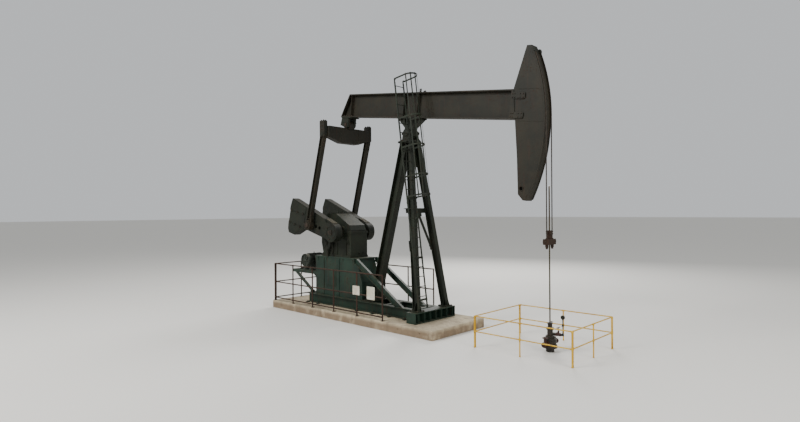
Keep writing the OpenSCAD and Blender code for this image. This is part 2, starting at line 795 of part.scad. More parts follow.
// Points in the beam's own axes, x forward and z up from the centre bearing
head_back_low = [beam_front + 15, beam_rise - 85];
head_back_high = [beam_front - 145, beam_rise + 860];
back_slope = (head_back_high.x - head_back_low.x) / (head_back_high.y - head_back_low.y);

// X of the head's back edge at height z of the beam's own axes
function back_x(z) = head_back_low.x + (z - head_back_low.y) * back_slope;

module walking_beam() {
    web = 22;
    flange = 38;
    top = beam_rise + beam_d;
    outline = [[-beam_rear, beam_rise + seat], [back_x(beam_rise) - seat, beam_rise + seat],
        [back_x(top) - seat, top], [beam_cut - beam_rear, top]];
    color([0.10, 0.12, 0.10]) on_beam() intersection() {
        side_plate(0, beam_w) polygon(outline);
        union() {
            translate([-beam_rear - 100, 0, beam_rise + seat + (beam_d - seat) / 2])
                i_beam(beam_rear + beam_front + 200, beam_d - seat, beam_w, web, flange);
            for (x = [-tail_x + 150, -320, 300])
                translate([x, -beam_w / 2 + 12, beam_rise + seat]) cube([20, beam_w - 24, beam_d - seat]);
            translate([back_x(top) - 60, -beam_w / 2, beam_rise + seat]) cube([400, beam_w, beam_d - seat]);
            side_plate(0, beam_w) polygon([[-beam_rear, beam_rise], [30 - beam_rear, beam_rise],
                [beam_cut - beam_rear + 30, top], [beam_cut - beam_rear, top]]);
        }
    }
}

// The bearing shaft and the chair that bolts it under the beam
module saddle() {
    inner = block_y - block_t / 2 - 6;
    color([0.12, 0.14, 0.11]) on_beam() {
        side_plate(0, 2 * inner) polygon([[-500, beam_rise], [500, beam_rise], [500, beam_rise - 60],
            [180, beam_rise - 330], [180, -70], [110, -150], [-110, -150], [-180, -70],
            [-180, beam_rise - 330], [-500, beam_rise - 60]]);
        translate([-500, -beam_w / 2 - 30, beam_rise - 30]) cube([1000, beam_w + 60, 30]);
        rotate([90, 0, 0]) cylinder(h = 2 * (block_y + block_t / 2 + 25), r = 80, center = true, $fn = 48);
    }
}

lug_t = 90;
lug_y = 150;
tail_pin_r = 65;

module tail_bearing() {
    color([0.12, 0.14, 0.11]) on_beam() {
        translate([-tail_x - 260, -beam_w / 2 - 60, beam_rise - 40]) cube([520, beam_w + 120, 40]);
        for (side = [near, far]) side_plate(side * lug_y, lug_t) difference() {
            union() {
                translate([-tail_x, tail_z]) circle(r = 125, $fn = 48);
                polygon([[-tail_x + 125, tail_z], [-tail_x + 125, beam_rise - 30],
                    [-tail_x - 250, beam_rise - 30], [-tail_x - 300, tail_z - 20], [-tail_x - 80, tail_z - 90]]);
            }
            translate([-tail_x, tail_z]) circle(r = tail_pin_r + run_gap, $fn = 48);
        }
    }
}

module horsehead() {
    chin = [head_r * cos(face_down) - 135, -head_r * sin(face_down) - 40];
    crown = [head_r * cos(face_up) - 185, head_r * sin(face_up) + 60];
    color([0.10, 0.12, 0.10]) on_beam() {
        difference() {
            side_plate(0, head_w - 40) intersection() {
                circle(r = head_r - 1, $fn = 360);
                polygon([head_back_low, head_back_high, crown, crown + [600, 0],
                    [head_r + 100, 0], [head_r + 100, chin.y], chin,
                    [chin.x - 170, chin.y + 150], [chin.x - 330, chin.y + 1150]]);
            }
            translate([chin.x - 90, 0, chin.y + 320]) rotate([90, 0, 0])
                cylinder(h = 1000, r = 55, center = true, $fn = 32);
        }
        side_plate(0, head_w) intersection() {
            difference() {
                circle(r = head_r, $fn = 360);
                circle(r = head_r - 25, $fn = 360);
            }
            polygon([[0, 0], 6000 * [cos(face_up), sin(face_up)], [8000, 0],
                6000 * [cos(face_down), -sin(face_down)]]);
        }
        for (side = [near, far]) side_plate(side * cable_gap / 2, 44) intersection() {
            difference() {
                circle(r = head_r + track_t - seat, $fn = 360);
                circle(r = head_r - 5, $fn = 360);
            }
            polygon([[0, 0], 6000 * [cos(face_up - 1), sin(face_up - 1)], [8000, 0],
                6000 * [cos(face_down), -sin(face_down)]]);
        }
    }
}

anchor_a = face_up - 2;

// The stretch of both cables that lies on the curved face, and its anchors
module upper_bridle() {
    color([0.30, 0.27, 0.22]) on_beam() for (side = [near, far]) {
        translate([0, side * cable_gap / 2, 0]) rotate([90, 0, 0]) rotate([0, 0, head_down + 0.05])
            rotate_extrude(angle = anchor_a - head_down, $fn = 240)
                translate([rod_x, 0]) circle(r = cable_r, $fn = 16);
        rotate([0, -anchor_a, 0]) translate([head_r + track_t, side * cable_gap / 2 - 34, 0])
            cube([54, 68, 130]);
    }
}

tail = let (c = cos(head_down), s = sin(head_down))
    [-tail_x * c + tail_z * s, bearing_z + tail_x * s + tail_z * c];
crank_pin = [shaft_x - crank_r * cos(crank_up), crank_z + crank_r * sin(crank_up)];
equalizer_top = tail.y - equalizer_drop;
pitman_top = [tail.x - 190, tail.y - 470];
end_block = [260, 150, 560];

module equalizer() {
    half = pitman_y - pitman_w / 2 - end_block.y;
    reach = pitman_y - pitman_w / 2 - seat;
    color([0.11, 0.13, 0.11]) {
        translate([tail.x - 100 + equalizer_w / 2, 0, 0]) rotate([0, -90, 0]) linear_extrude(equalizer_w)
            polygon([[equalizer_top, -reach], [equalizer_top, reach],
                [equalizer_top - equalizer_end_d, reach], [equalizer_top - equalizer_mid_d, 420],
                [equalizer_top - equalizer_mid_d, -420], [equalizer_top - equalizer_end_d, -reach]]);
        translate([tail.x, 0, tail.y]) rotate([90, 0, 0])
            cylinder(h = 2 * (lug_y - lug_t / 2 - 6), r = 125, center = true, $fn = 48);
        translate([tail.x - 110, -(lug_y - lug_t / 2 - 6), equalizer_top - 20])
            cube([220, 2 * (lug_y - lug_t / 2 - 6), equalizer_drop + 20]);
        translate([tail.x, 0, tail.y]) rotate([90, 0, 0])
            cylinder(h = 2 * (lug_y + lug_t / 2 + 20), r = tail_pin_r, center = true, $fn = 48);
        for (side = [near, far]) translate([pitman_top.x, side * (reach - 90), pitman_top.y])
            rotate([90, 0, 0]) cylinder(h = 180, r = 60, center = true, $fn = 32);
    }
}

module pitman(side) {
    y = side * pitman_y;
    v = crank_pin - pitman_top;
    length = norm(v);
    tilt = atan2(v.x, -v.y);
    color([0.11, 0.13, 0.11]) difference() {
        union() {
            translate([pitman_top.x, y, pitman_top.y]) rotate([0, 180 - tilt, 0]) rotate([0, 0, 90])
                translate([0, 0, -40]) linear_extrude(length - 140)
                    i_profile(pitman_d, pitman_w, 12, 14);
            translate([pitman_top.x - 130, y - pitman_w / 2, pitman_top.y - 40])
                cube([260, pitman_w, end_block.z]);
            translate([crank_pin.x, y, crank_pin.y]) rotate([90, 0, 0])
                cylinder(h = pitman_w + 40, r = 190, center = true, $fn = 48);
        }
        translate([crank_pin.x, y, crank_pin.y]) rotate([90, 0, 0])
            cylinder(h = pitman_w + 60, r = pin_r + seat, center = true, $fn = 48);
    }
}

module near_pitman() { pitman(near); }
module far_pitman() { pitman(far); }

// Crank pins, held in the pitmans' lower bearings and ending just short of the cranks
module crank_pins() {
    inner = crank_inner + crank_t + pin_gap;
    outer = pitman_y + pitman_w / 2 + 20 + 26;
    color([0.20, 0.19, 0.16]) for (side = [near, far])
        translate([crank_pin.x, side * (inner + outer) / 2, crank_pin.y]) rotate([90, 0, 0])
            cylinder(h = outer - inner, r = pin_r, center = true, $fn = 48);
}

module crankshaft() {
    color([0.22, 0.21, 0.18]) translate([shaft_x, 0, crank_z]) rotate([90, 0, 0])
        cylinder(h = 2 * (crank_inner + crank_t + 12), r = shaft_r, center = true, $fn = 48);
}

// Moves from the crank's own axes, x out along the arm, to the rest pose
module on_crank(side) {
    translate([shaft_x, side * (crank_inner + crank_t / 2), crank_z])
        rotate([0, crank_up, 0]) mirror([1, 0, 0]) rotate([90, 0, 0]) children();
}

arm_hub = 300;
arm_tip = 230;

// Half width of the crank arm at distance u from the shaft
function arm_half(u) = arm_hub + (arm_tip - arm_hub) * u / crank_reach;

module crank(side) {
    color([0.12, 0.13, 0.11]) on_crank(side) difference() {
        union() {
            cylinder(h = crank_t, r = arm_hub + 40, center = true, $fn = 64);
            linear_extrude(crank_t, center = true)
                polygon([[0, arm_half(0)], [crank_reach, arm_half(crank_reach)],
                    [crank_reach, -arm_half(crank_reach)], [0, -arm_half(0)]]);
        }
        cylinder(h = crank_t + 2, r = shaft_r + seat, center = true, $fn = 48);
        for (k = [0 : 2]) translate([crank_r - k * hole_step, 0, 0])
            cylinder(h = crank_t + 2, r = pin_r, center = true, $fn = 40);
    }
}

module near_crank() { crank(near); }
module far_crank() { crank(far); }

weight_to = crank_reach + 20;
weight_out = 660;

// The weights bolted on the crank arm: a long one on its upper edge and a short one below
module counterweights(side) {
    color([0.13, 0.14, 0.12]) on_crank(side) linear_extrude(crank_t, center = true) {
        polygon([[arm_hub + 20, arm_half(arm_hub + 20) + seat], [weight_to * 0.17, arm_hub + 110],
            [weight_to - 180, weight_out + 40], [weight_to - 65, weight_out + 40],
            [weight_to - 10, weight_out - 220], [weight_to + 10, weight_out - 360],
            [weight_to, arm_half(weight_to) + seat]]);
        polygon([[weight_to - 1040, -arm_half(weight_to - 1040) - seat], [weight_to - 510, -weight_out],
            [weight_to - 120, -weight_out], [weight_to - 30, 140 - weight_out],
            [weight_to, -arm_half(weight_to) - seat]]);
    }
}

module near_counterweights() { counterweights(near); }
module far_counterweights() { counterweights(far); }

module carrier_bar() {
    color([0.24, 0.21, 0.15]) difference() {
        union() {
            translate([rod_x - 75, -cable_gap / 2 - 70, carrier_z]) cube([150, cable_gap + 140, 150]);
            translate([rod_x, 0, carrier_z + 150]) cylinder(h = 110, r = 62, $fn = 32);
            for (side = [near, far]) translate([rod_x, side * cable_gap / 2, carrier_z - 70])
                cylinder(h = 70, r = 42, $fn = 24);
        }
        translate([rod_x, 0, carrier_z - 1]) cylinder(h = 400, r = rod_r + seat, $fn = 32);
        for (side = [near, far]) translate([rod_x, side * cable_gap / 2, carrier_z - 71])
            cylinder(h = 400, r = cable_r + seat, $fn = 24);
    }
}

module polished_rod() {
    bottom = head_z + 60;
    color([0.55, 0.54, 0.50]) translate([rod_x, 0, bottom])
        cylinder(h = rod_top - bottom, r = rod_r, $fn = 32);
}

module lower_bridle() {
    bottom = carrier_z - 60;
    color([0.30, 0.27, 0.22]) for (side = [near, far])
        translate([rod_x, side * cable_gap / 2, bottom])
            cylinder(h = bearing_z - bottom, r = cable_r, $fn = 16);
}

foundation();
base();
front_cross_beam();
pedestal();
pedestal_braces();
gear_case();
gear_case_cover();
motor_stand();
motor();
belt_sheaves();
drive_belts();
belt_guard();
brake();
near_front_leg();
far_front_leg();
rear_leg();
leg_bracing();
post_top();
bearing_blocks();
ladder();
ladder_cage();
near_crank_guard();
far_crank_guard();
rear_crank_guard();
sign_plates();
near_well_rail();
far_well_rail();
front_well_rail();
rear_well_rail();
wellhead();
stuffing_box();
flow_valves();
walking_beam();
saddle();
tail_bearing();
horsehead();
upper_bridle();
equalizer();
near_pitman();
far_pitman();
crank_pins();
crankshaft();
near_crank();
far_crank();
near_counterweights();
far_counterweights();
carrier_bar();
polished_rod();
lower_bridle();
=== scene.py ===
"""A beam pumping unit with its concrete block, guard rails and wellhead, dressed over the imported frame."""
import math
from itertools import product

import bpy
from mathutils import Matrix, Vector


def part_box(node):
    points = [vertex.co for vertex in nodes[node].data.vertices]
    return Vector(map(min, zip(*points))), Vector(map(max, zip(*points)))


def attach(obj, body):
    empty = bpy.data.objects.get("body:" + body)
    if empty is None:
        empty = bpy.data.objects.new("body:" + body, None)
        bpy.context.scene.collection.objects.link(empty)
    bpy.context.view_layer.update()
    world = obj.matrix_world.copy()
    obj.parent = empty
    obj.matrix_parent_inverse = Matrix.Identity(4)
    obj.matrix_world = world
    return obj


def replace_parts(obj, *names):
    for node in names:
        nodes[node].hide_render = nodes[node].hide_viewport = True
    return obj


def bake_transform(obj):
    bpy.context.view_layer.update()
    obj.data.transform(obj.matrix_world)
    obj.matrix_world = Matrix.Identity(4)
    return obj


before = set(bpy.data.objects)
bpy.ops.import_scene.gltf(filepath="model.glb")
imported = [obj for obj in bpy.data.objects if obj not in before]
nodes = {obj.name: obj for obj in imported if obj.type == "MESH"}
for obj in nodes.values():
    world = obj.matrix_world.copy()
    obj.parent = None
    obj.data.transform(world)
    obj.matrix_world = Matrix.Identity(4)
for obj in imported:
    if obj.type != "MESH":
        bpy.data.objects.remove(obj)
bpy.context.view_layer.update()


# Camera, floor and light. The camera stands low at the front near corner,
# about 13 m off and level, with a wide lens. The studio is a pale floor under soft light.
picture_width = 800
focal_length = 528.14
camera_data = bpy.data.cameras.new("camera")
camera_data.sensor_width = 36
camera_data.lens = 36 * focal_length / picture_width
camera = bpy.data.objects.new("camera", camera_data)
bpy.context.scene.collection.objects.link(camera)
turn = Matrix.Rotation(math.radians(43.76), 4, "Z")
tip = Matrix.Rotation(math.radians(90.1), 4, "X")
lean = Matrix.Rotation(math.radians(-0.335), 4, "Z")
camera.matrix_world = Matrix.Translation((11.93, -12.99, 3.758)) @ turn @ tip @ lean
bpy.context.scene.camera = camera


def linear(code):
    """Linear red, green, blue and alpha of an sRGB hex colour."""
    parts = [int(code[i:i + 2], 16) / 255 for i in (1, 3, 5)]
    return [p / 12.92 if p <= 0.04045 else ((p + 0.055) / 1.055) ** 2.4 for p in parts] + [1.0]


def add_node(material, kind, settings):
    """Adds a node and gives its outputs. Settings are inputs or properties; an output is linked."""
    node = material.node_tree.nodes.new("ShaderNode" + kind)
    for name, value in settings.items():
        if isinstance(name, str) and name not in node.inputs:
            setattr(node, name, value)
        elif isinstance(value, bpy.types.NodeSocket):
            material.node_tree.links.new(value, node.inputs[name])
        else:
            is_colour = isinstance(value, str)
            node.inputs[name].default_value = linear(value) if is_colour else value
    return node.outputs


def new_material(name):
    """An empty material, its shader, and the object's own coordinates."""
    material = bpy.data.materials.new(name)
    material.use_nodes = True
    return material, material.node_tree.nodes["Principled BSDF"], add_node(material, "TexCoord", {})["Object"]


studio_floor, floor_shader, _ = new_material("studio_floor")
floor_shader.inputs["Base Color"].default_value = linear("#d9d6cf")
floor_shader.inputs["Roughness"].default_value = 0.9
bpy.ops.mesh.primitive_plane_add(size=600, location=(0, 0, -0.002))
floor = bpy.context.object
floor.name = "floor"
floor.data.materials.append(studio_floor)

world = bpy.data.worlds.new("studio")
bpy.context.scene.world = world
world.use_nodes = True
sky = world.node_tree.nodes["Background"]
sky.inputs["Color"].default_value = linear("#e9ecef")
sky.inputs["Strength"].default_value = 0.75


def soft_light(name, place, aim, size, power):
    """A square soft light that faces a point."""
    data = bpy.data.lights.new(name, "AREA")
    data.size = size
    data.energy = power
    light = bpy.data.objects.new(name, data)
    bpy.context.scene.collection.objects.link(light)
    light.location = place
    light.rotation_mode = "QUATERNION"
    light.rotation_quaternion = (Vector(aim) - Vector(place)).to_track_quat("-Z", "Y")


soft_light("key", (-4, -20, 17), (-1, 0, 3), 9, 5200)
soft_light("fill", (22, -6, 10), (0, 0, 3), 10, 2600)
soft_light("rim", (-8, 18, 14), (-1, 0, 4), 8, 3600)


# Foundation: one long block of concrete, cast in place in boards and trowelled on top.
# Rain and dust have stained its sides brown, and its top edge is chipped and paler.
def lumps(material, where, scale, detail=4.0, stretch=(1, 1, 1)):
    """A pattern of so many lumps a metre, stretched along the axes."""
    mapped = add_node(material, "Mapping", {"Vector": where, "Scale": stretch})[0]
    settings = {"Vector": mapped, "Scale": scale, "Detail": detail, "Roughness": 0.6}
    return add_node(material, "TexNoise", settings)["Fac"]


def spread(material, *masks):
    """Where masks meet. A mask is a share, or a pattern with the levels where it becomes 0 and 1."""
    whole = 1.0
    for mask in masks:
        if isinstance(mask, tuple):
            pattern, low, high = mask
            mask = add_node(material, "MapRange", {
                "interpolation_type": "SMOOTHSTEP", "Value": pattern, "From Min": low, "From Max": high})[0]
        whole = add_node(material, "Math", {"operation": "MULTIPLY", 0: whole, 1: mask})[0]
    return whole


def coats(material, base, *layers):
    """A base colour under coats, each a colour and the masks that spread it."""
    for colour, *masks in layers:
        amount = spread(material, *masks)
        base = add_node(material, "Mix", {"data_type": "RGBA", 0: amount, 6: base, 7: colour})[2]
    return base


def surface(material, shader, colour, roughness, height, depth, metallic=0.0):
    """Sets the colour, the roughness and the relief, so many metres deep, of a shader."""
    relief = add_node(material, "Bump", {"Strength": 0.8, "Distance": depth, "Height": height})[0]
    shader.inputs["Metallic"].default_value = metallic
    for name, value in (("Base Color", colour), ("Roughness", roughness), ("Normal", relief)):
        if isinstance(value, float):
            shader.inputs[name].default_value = value
        else:
            material.node_tree.links.new(value, shader.inputs[name])


# Cast concrete: rough and dull, buff with grey clouds, pitted every 20 mm or so
concrete, shader, where = new_material("cast_concrete")
height_up = add_node(concrete, "SeparateXYZ", {0: where})[2]
colour = coats(
    concrete, "#b8a98c",
    ("#988a72", (lumps(concrete, where, 1.1), 0.35, 0.65)),
    ("#c9bea6", (lumps(concrete, where, 60), 0.52, 0.72)),
    ("#6f5a44", (height_up, 0.285, 0.16), (lumps(concrete, where, 2.2), 0.22, 0.5), 0.8),
    ("#6b5c49", (lumps(concrete, where, 3.0, stretch=(2.0, 2.0, 0.25)), 0.45, 0.7), 0.5))
pits = spread(concrete, (lumps(concrete, where, 34, detail=8), 0.36, 0.6))
surface(concrete, shader, colour, 0.92, pits, 0.006)


def dress(material, *names):
    """Gives CAD nodes a finished material."""
    for name in names:
        nodes[name].data.materials.clear()
        nodes[name].data.materials.append(material)


def object_mode():
    """Leaves edit mode."""
    bpy.ops.object.mode_set(mode="OBJECT")


def nothing_selected():
    """Leaves edit mode and deselects every object."""
    if bpy.context.object and bpy.context.object.mode == "EDIT":
        object_mode()
    bpy.ops.object.select_all(action="DESELECT")


def only(piece):
    """Selects one object and makes it active."""
    nothing_selected()
    piece.select_set(True)
    bpy.context.view_layer.objects.active = piece


def pick(piece, test):
    """Enters edit mode with the faces selected whose centre and normal pass a test."""
    only(piece)
    bpy.ops.object.mode_set(mode="EDIT")
    bpy.ops.mesh.select_mode(type="FACE")
    bpy.ops.mesh.select_all(action="DESELECT")
    object_mode()
    for face in piece.data.polygons:
        face.select = test(face.center, face.normal)
    bpy.ops.object.mode_set(mode="EDIT")


def top(centre, normal):
    """Picks the faces that look up."""
    return normal.z > 0.95


def under(centre, normal):
    """Picks the faces that look down."""
    return normal.z < -0.9


def both_ends(centre, normal):
    """Picks the two ends of an upright piece."""
    return abs(normal.z) > 0.9


def front(centre, normal):
    """Picks the faces that look along x."""
    return normal.x > 0.9


def settled():
    """Puts a new object's place into its mesh."""
    bpy.ops.object.transform_apply(location=True, rotation=True, scale=True)
    return bpy.context.object


def start_block(first, last):
    """A box between two opposite corners."""
    nothing_selected()
    first, last = Vector(first), Vector(last)
    size = [abs(side) for side in last - first]
    bpy.ops.mesh.primitive_cube_add(size=1, location=(first + last) / 2, scale=size)
    return settled()


def start_round(radius, height, sides=24, base=(0, 0, 0), ends="NGON"):
    """An upright cylinder that stands on a point."""
    nothing_selected()
    middle = Vector(base) + Vector((0, 0, height / 2))
    bpy.ops.mesh.primitive_cylinder_add(
        vertices=sides, radius=radius, depth=height, location=middle, end_fill_type=ends)
    return settled()


def changed(piece, kind, **settings):
    """Puts a piece through a modifier."""
    only(piece)
    modifier = piece.modifiers.new("change", kind)
    for name, value in settings.items():
        setattr(modifier, name, value)
    bpy.ops.object.modifier_apply(modifier="change")
    return piece


def soften(piece, width, segments=1):
    """Breaks the edges by a small bevel."""
    sharp = math.radians(35)
    return changed(piece, "BEVEL", width=width, segments=segments, limit_method="ANGLE", angle_limit=sharp)


def bevelled(piece, offset, segments=1, test=both_ends):
    """Bevels round the picked faces."""
    pick(piece, test)
    bpy.ops.mesh.bevel(offset=offset, segments=segments)
    object_mode()
    return piece


def extrude(move):
    """Extrudes what is selected."""
    bpy.ops.mesh.extrude_region_move(TRANSFORM_OT_translate={"value": move})


def standing(point, direction):
    """A place on a point, with the upright axis turned to a direction."""
    return Matrix.Translation(point) @ Vector(direction).to_track_quat("Z", "Y").to_matrix().to_4x4()


def placed(piece, place):
    """Moves a piece to a place."""
    piece.matrix_world = place @ piece.matrix_world
    return piece


def joined(pieces, name):
    """Joins objects into one, with its place in its mesh."""
    nothing_selected()
    for piece in pieces:
        piece.select_set(True)
    bpy.context.view_layer.objects.active = pieces[0]
    if len(pieces) > 1:
        bpy.ops.object.join()
    whole = settled()
    whole.name = name
    whole.data.name = name
    return whole


def finish(parts, name, material, body="root", smooth=30, place=None):
    """Joins parts into one piece with its material, slot and body. A rope has no one body."""
    for part in parts if place else ():
        placed(part, place)
    piece = joined(parts, name)
    piece.data.materials.clear()
    piece.data.materials.append(material)
    bpy.ops.object.shade_smooth_by_angle(angle=math.radians(smooth))
    if body:
        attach(piece, body)
    return piece


def cut_up(piece, axis, start, stop, step):
    """Cuts a piece across at even steps along an axis."""
    only(piece)
    bpy.ops.object.mode_set(mode="EDIT")
    normal = Vector((axis == 0, axis == 1, axis == 2))
    at = start
    while at < stop:
        bpy.ops.mesh.select_all(action="SELECT")
        bpy.ops.mesh.bisect(plane_co=normal * at, plane_no=normal)
        at += step
    object_mode()


def cut_out(piece, cutter):
    """Cuts the form of one piece out of another."""
    changed(piece, "BOOLEAN", object=cutter)
    bpy.data.objects.remove(cutter)


# The block: chamfered top edges, three sawn joints across it and the tie holes of its boards
both = (-1, 1)
block_low, block_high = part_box("foundation")
block = bevelled(start_block(block_low, block_high), 0.022, 2, top)
joints_x = (-4.3, -2.2, -0.1)
for x in joints_x:
    cut_up(block, 0, x - 0.004, x + 0.005, 0.008)
cut_up(block, 0, block_low.x + 0.12, block_high.x - 0.06, 0.115)
cut_up(block, 1, block_low.y + 0.12, block_high.y - 0.06, 0.115)
cut_up(block, 2, 0.06, 0.25, 0.06)
pick(block, lambda centre, normal: normal.z > 0.9 and min(abs(centre.x - x) for x in joints_x) < 0.0035)
extrude((0, 0, -0.01))
object_mode()
worn_lumps = bpy.data.textures.new("worn_concrete", "CLOUDS")
worn_lumps.noise_scale = 0.09
worn_lumps.noise_depth = 3
changed(block, "DISPLACE", texture=worn_lumps, strength=0.007, mid_level=1.0)
holes = []
for side, x in product(both, (-5.7, -4.9, -3.7, -2.7, -1.5, -0.6, 0.6, 1.5)):
    holes.append(placed(start_round(0.02, 0.05, 16), standing((x, side * 1.27, 0.15), (0, side, 0))))
cut_out(block, joined(holes, "tie_holes"))
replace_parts(finish([block], "concrete_block", concrete, smooth=25), "foundation")


# Base: two long rolled I beams with cross beams, painted dark green in the shop and scuffed since.
# Clips with bolts hold its lower flanges to the block, and dust lies on everything that faces up.
def weathered_paint(name, fresh, faded, primer, dust, chips=0.5, rough=0.5):
    """Old alkyd paint on steel: faded in clouds, chipped to rust, streaked by rain, dusty on top."""
    material, shader, where = new_material(name)
    spots = (lumps(material, where, 22, detail=9), 0.6 - 0.06 * chips, 0.64 - 0.06 * chips)
    chipped = spread(material, spots, (lumps(material, where, 2.6), 0.42, 0.66))
    rust = coats(material, primer, ("#2b1a12", (lumps(material, where, 70), 0.35, 0.65)))
    upward = add_node(material, "SeparateXYZ", {0: where.node.outputs["Normal"]})[2]
    colour = coats(
        material, fresh,
        (faded, (lumps(material, where, 1.7), 0.35, 0.68)),
        (primer, (lumps(material, where, 5.0, stretch=(2.4, 2.4, 0.18)), 0.5, 0.78), 0.6),
        (rust, chipped),
        (dust, (upward, 0.45, 0.95), (lumps(material, where, 9), 0.28, 0.62), 0.75))
    dull = add_node(material, "MapRange", {"Value": chipped, "To Min": rough, "To Max": 0.9})[0]
    shader.inputs["Specular IOR Level"].default_value = 0.25
    flaked = add_node(material, "Math", {"operation": "SUBTRACT", 0: 0.5, 1: chipped})[0]
    brushed = spread(material, lumps(material, where, 160), 0.12)
    height = add_node(material, "Math", {"operation": "ADD", 0: flaked, 1: brushed})[0]
    surface(material, shader, colour, dull, height, 0.0012)
    return material


green_paint = weathered_paint("dark_green_enamel", "#16271f", "#1f3328", "#3b2619", "#4a4536", 0.45)
dress(green_paint, "base", "front_cross_beam", "pedestal", "pedestal_braces", "motor_stand")

# Bolts turn darker than the paint round them, with a bloom of rust
bolt_steel = weathered_paint("rusty_bolt_steel", "#211e19", "#352c22", "#4a2f1f", "#4a4536", 0.9, 0.55)


def stepped(piece, *steps, centre=(0, 0, 0)):
    """Steps up the top of a round piece: each step is a scale and a rise."""
    pick(piece, top)
    for scale, rise in steps:
        bpy.ops.mesh.extrude_region_move()
        bpy.ops.transform.resize(value=(scale, scale, 1), center_override=centre)
        extrude((0, 0, rise))
    object_mode()
    return piece


# Plated hexagon bolt of 20 mm: a chamfered head with a tip on a round washer
washer = start_round(0.0195, 0.0035, 20)
head = bevelled(start_round(0.0173, 0.015, 6, (0, 0, 0.0035)), 0.0018, 1, top)
bolt = joined([washer, stepped(head, (0.62, 0.008))], "bolt_model")
up, down = (0, 0, 1), (0, 0, -1)


def bolt_at(point, direction, size=20):
    """Where a bolt of a size in millimetres sits, and which way its head points."""
    return standing(point, direction) @ Matrix.Scale(size / 20, 4)


def bolts(points, direction, size=20):
    """Bolts of one size at several points."""
    return [bolt_at(point, direction, size) for point in points]


def copies(model, places, keep=False):
    """A copy of a piece at each place. The model goes unless it's kept for more."""
    made = []
    for place in places:
        twin = model.copy()
        twin.data = model.data.copy()
        bpy.context.scene.collection.objects.link(twin)
        made.append(placed(twin, place))
    if not keep:
        bpy.data.objects.remove(model)
    return made


def bolt_set(spots, name, body="root", place=None):
    """All the bolts of one group, as one piece."""
    finish(copies(bolt, spots, True), name, bolt_steel, body, place=place)


clip = start_block((-0.045, -0.07, 0), (0.045, 0.05, 0.028))
pick(clip, lambda centre, normal: normal.y > 0.9)
extrude((0, 0.035, 0))
bpy.ops.transform.resize(value=(0.8, 1, 0.6), center_override=(0, 0.085, 0.028))
object_mode()
clip_x = (-4.85, -4.2, -2.0, -1.2, -0.4, 0.3)
clip_places = [Matrix.Translation((x, -0.66, 0.2905)) for x in clip_x]
clip_places += [Matrix.Translation((x, 0.66, 0.2905)) @ Matrix.Rotation(math.pi, 4, "Z") for x in clip_x]
finish(copies(soften(clip, 0.003), clip_places), "base_clips", green_paint)
bolt_set(bolts(product(clip_x, (-0.66, 0.66), (0.3175,)), up, 30), "base_clip_bolts")


# Front cross beam: a wide I beam under the front feet, welded across the rails' ends.
# Upright stiffeners stand between its flanges, under each foot and between.
def clipped_plate(first, last, axis, clip):
    """A plate between two opposite corners, with its four corners clipped, seen along an axis."""
    plate = start_block(first, last)
    bpy.ops.object.mode_set(mode="EDIT")
    bpy.ops.mesh.select_mode(type="EDGE")
    bpy.ops.mesh.select_all(action="DESELECT")
    object_mode()
    for edge in plate.data.edges:
        a, b = (plate.data.vertices[v].co for v in edge.vertices)
        edge.select = abs((a - b)[axis]) > 1e-5
    bpy.ops.object.mode_set(mode="EDIT")
    bpy.ops.mesh.bevel(offset=clip, segments=1)
    object_mode()
    return plate


stiffeners = []
for face, y in product(both, (-0.86, -0.56, -0.28, 0, 0.28, 0.56, 0.86)):
    inner, outer = 0.87 + face * 0.011, 0.87 + face * 0.182
    stiffeners.append(clipped_plate((inner, y - 0.007, 0.319), (outer, y + 0.007, 0.601), 1, 0.02))
finish(stiffeners, "cross_beam_stiffeners", green_paint)
foot_spots = bolts(product((0.73, 1.01), (-0.84, -0.56, 0.56, 0.84), (0.660,)), up, 24)
foot_spots += bolts(product((-1.91, -1.53), (-0.48, -0.24, 0.24, 0.48), (0.660,)), up, 24)
bolt_set(foot_spots, "foot_bolts")


# Weld beads: six-sided runs of steel where plates meet, about 12 mm wide, painted over with the rest.
def bar(first, last, radius, sides=20):
    """A round bar from one point to another."""
    first, last = Vector(first), Vector(last)
    return placed(start_round(radius, (last - first).length, sides), standing(first, last - first))


def weld(first, last, radius=0.006):
    """A weld bead from one point to another."""
    return bar(first, last, radius, 6)


beads = []
for side in both:
    for x in (-4.94, -3.61, -2.60, -1.72, -1.01, 0.52):
        beads.append(weld((x - 0.07, side * 0.469, 0.63), (x + 0.07, side * 0.469, 0.63)))
    beads.append(weld((-4.62, side * 0.441, 0.634), (-1.97, side * 0.441, 0.634), 0.008))
    beads.append(weld((0.679, side * 0.57, 0.60), (0.679, side * 0.57, 0.32), 0.007))
    beads.append(weld((0.70, side * 0.53, 0.662), (1.04, side * 0.53, 0.662), 0.005))
finish(beads, "base_welds", green_paint)


# Pedestal: a tall box of plate, welded to the base, with a bolted cover over its hand hole.
# Its deck is a thick plate that the gear case is bolted down to.
hatch_middle = Vector((-3.67, 0, 1.32))
cover = start_block((-0.26, -0.012, -0.34), (0.26, 0, 0.34))
pick(cover, lambda centre, normal: normal.y < -0.9)
bpy.ops.mesh.inset(thickness=0.05, depth=0)
extrude((0, -0.008, 0))
bpy.ops.mesh.inset(thickness=0.012, depth=0)
object_mode()
grip = bevelled(start_round(0.009, 0.15, 12, (0, 0, -0.075)), 0.002)
hatch_parts = [soften(cover, 0.003, 2), placed(grip, Matrix.Translation((0.15, -0.055, 0)))]
hatch_parts += [weld((0.15, -0.018, z), (0.15, -0.055, z), 0.008) for z in (-0.065, 0.065)]
hatch_places = [Matrix.Translation(hatch_middle + Vector((0, -0.441, 0)))]
far_hatch = Matrix.Translation(hatch_middle + Vector((0, 0.441, 0)))
hatch_places.append(far_hatch @ Matrix.Rotation(math.pi, 4, "Z"))
finish(copies(joined(hatch_parts, "hatch"), hatch_places), "pedestal_hatches", green_paint)
hatch_spots = []
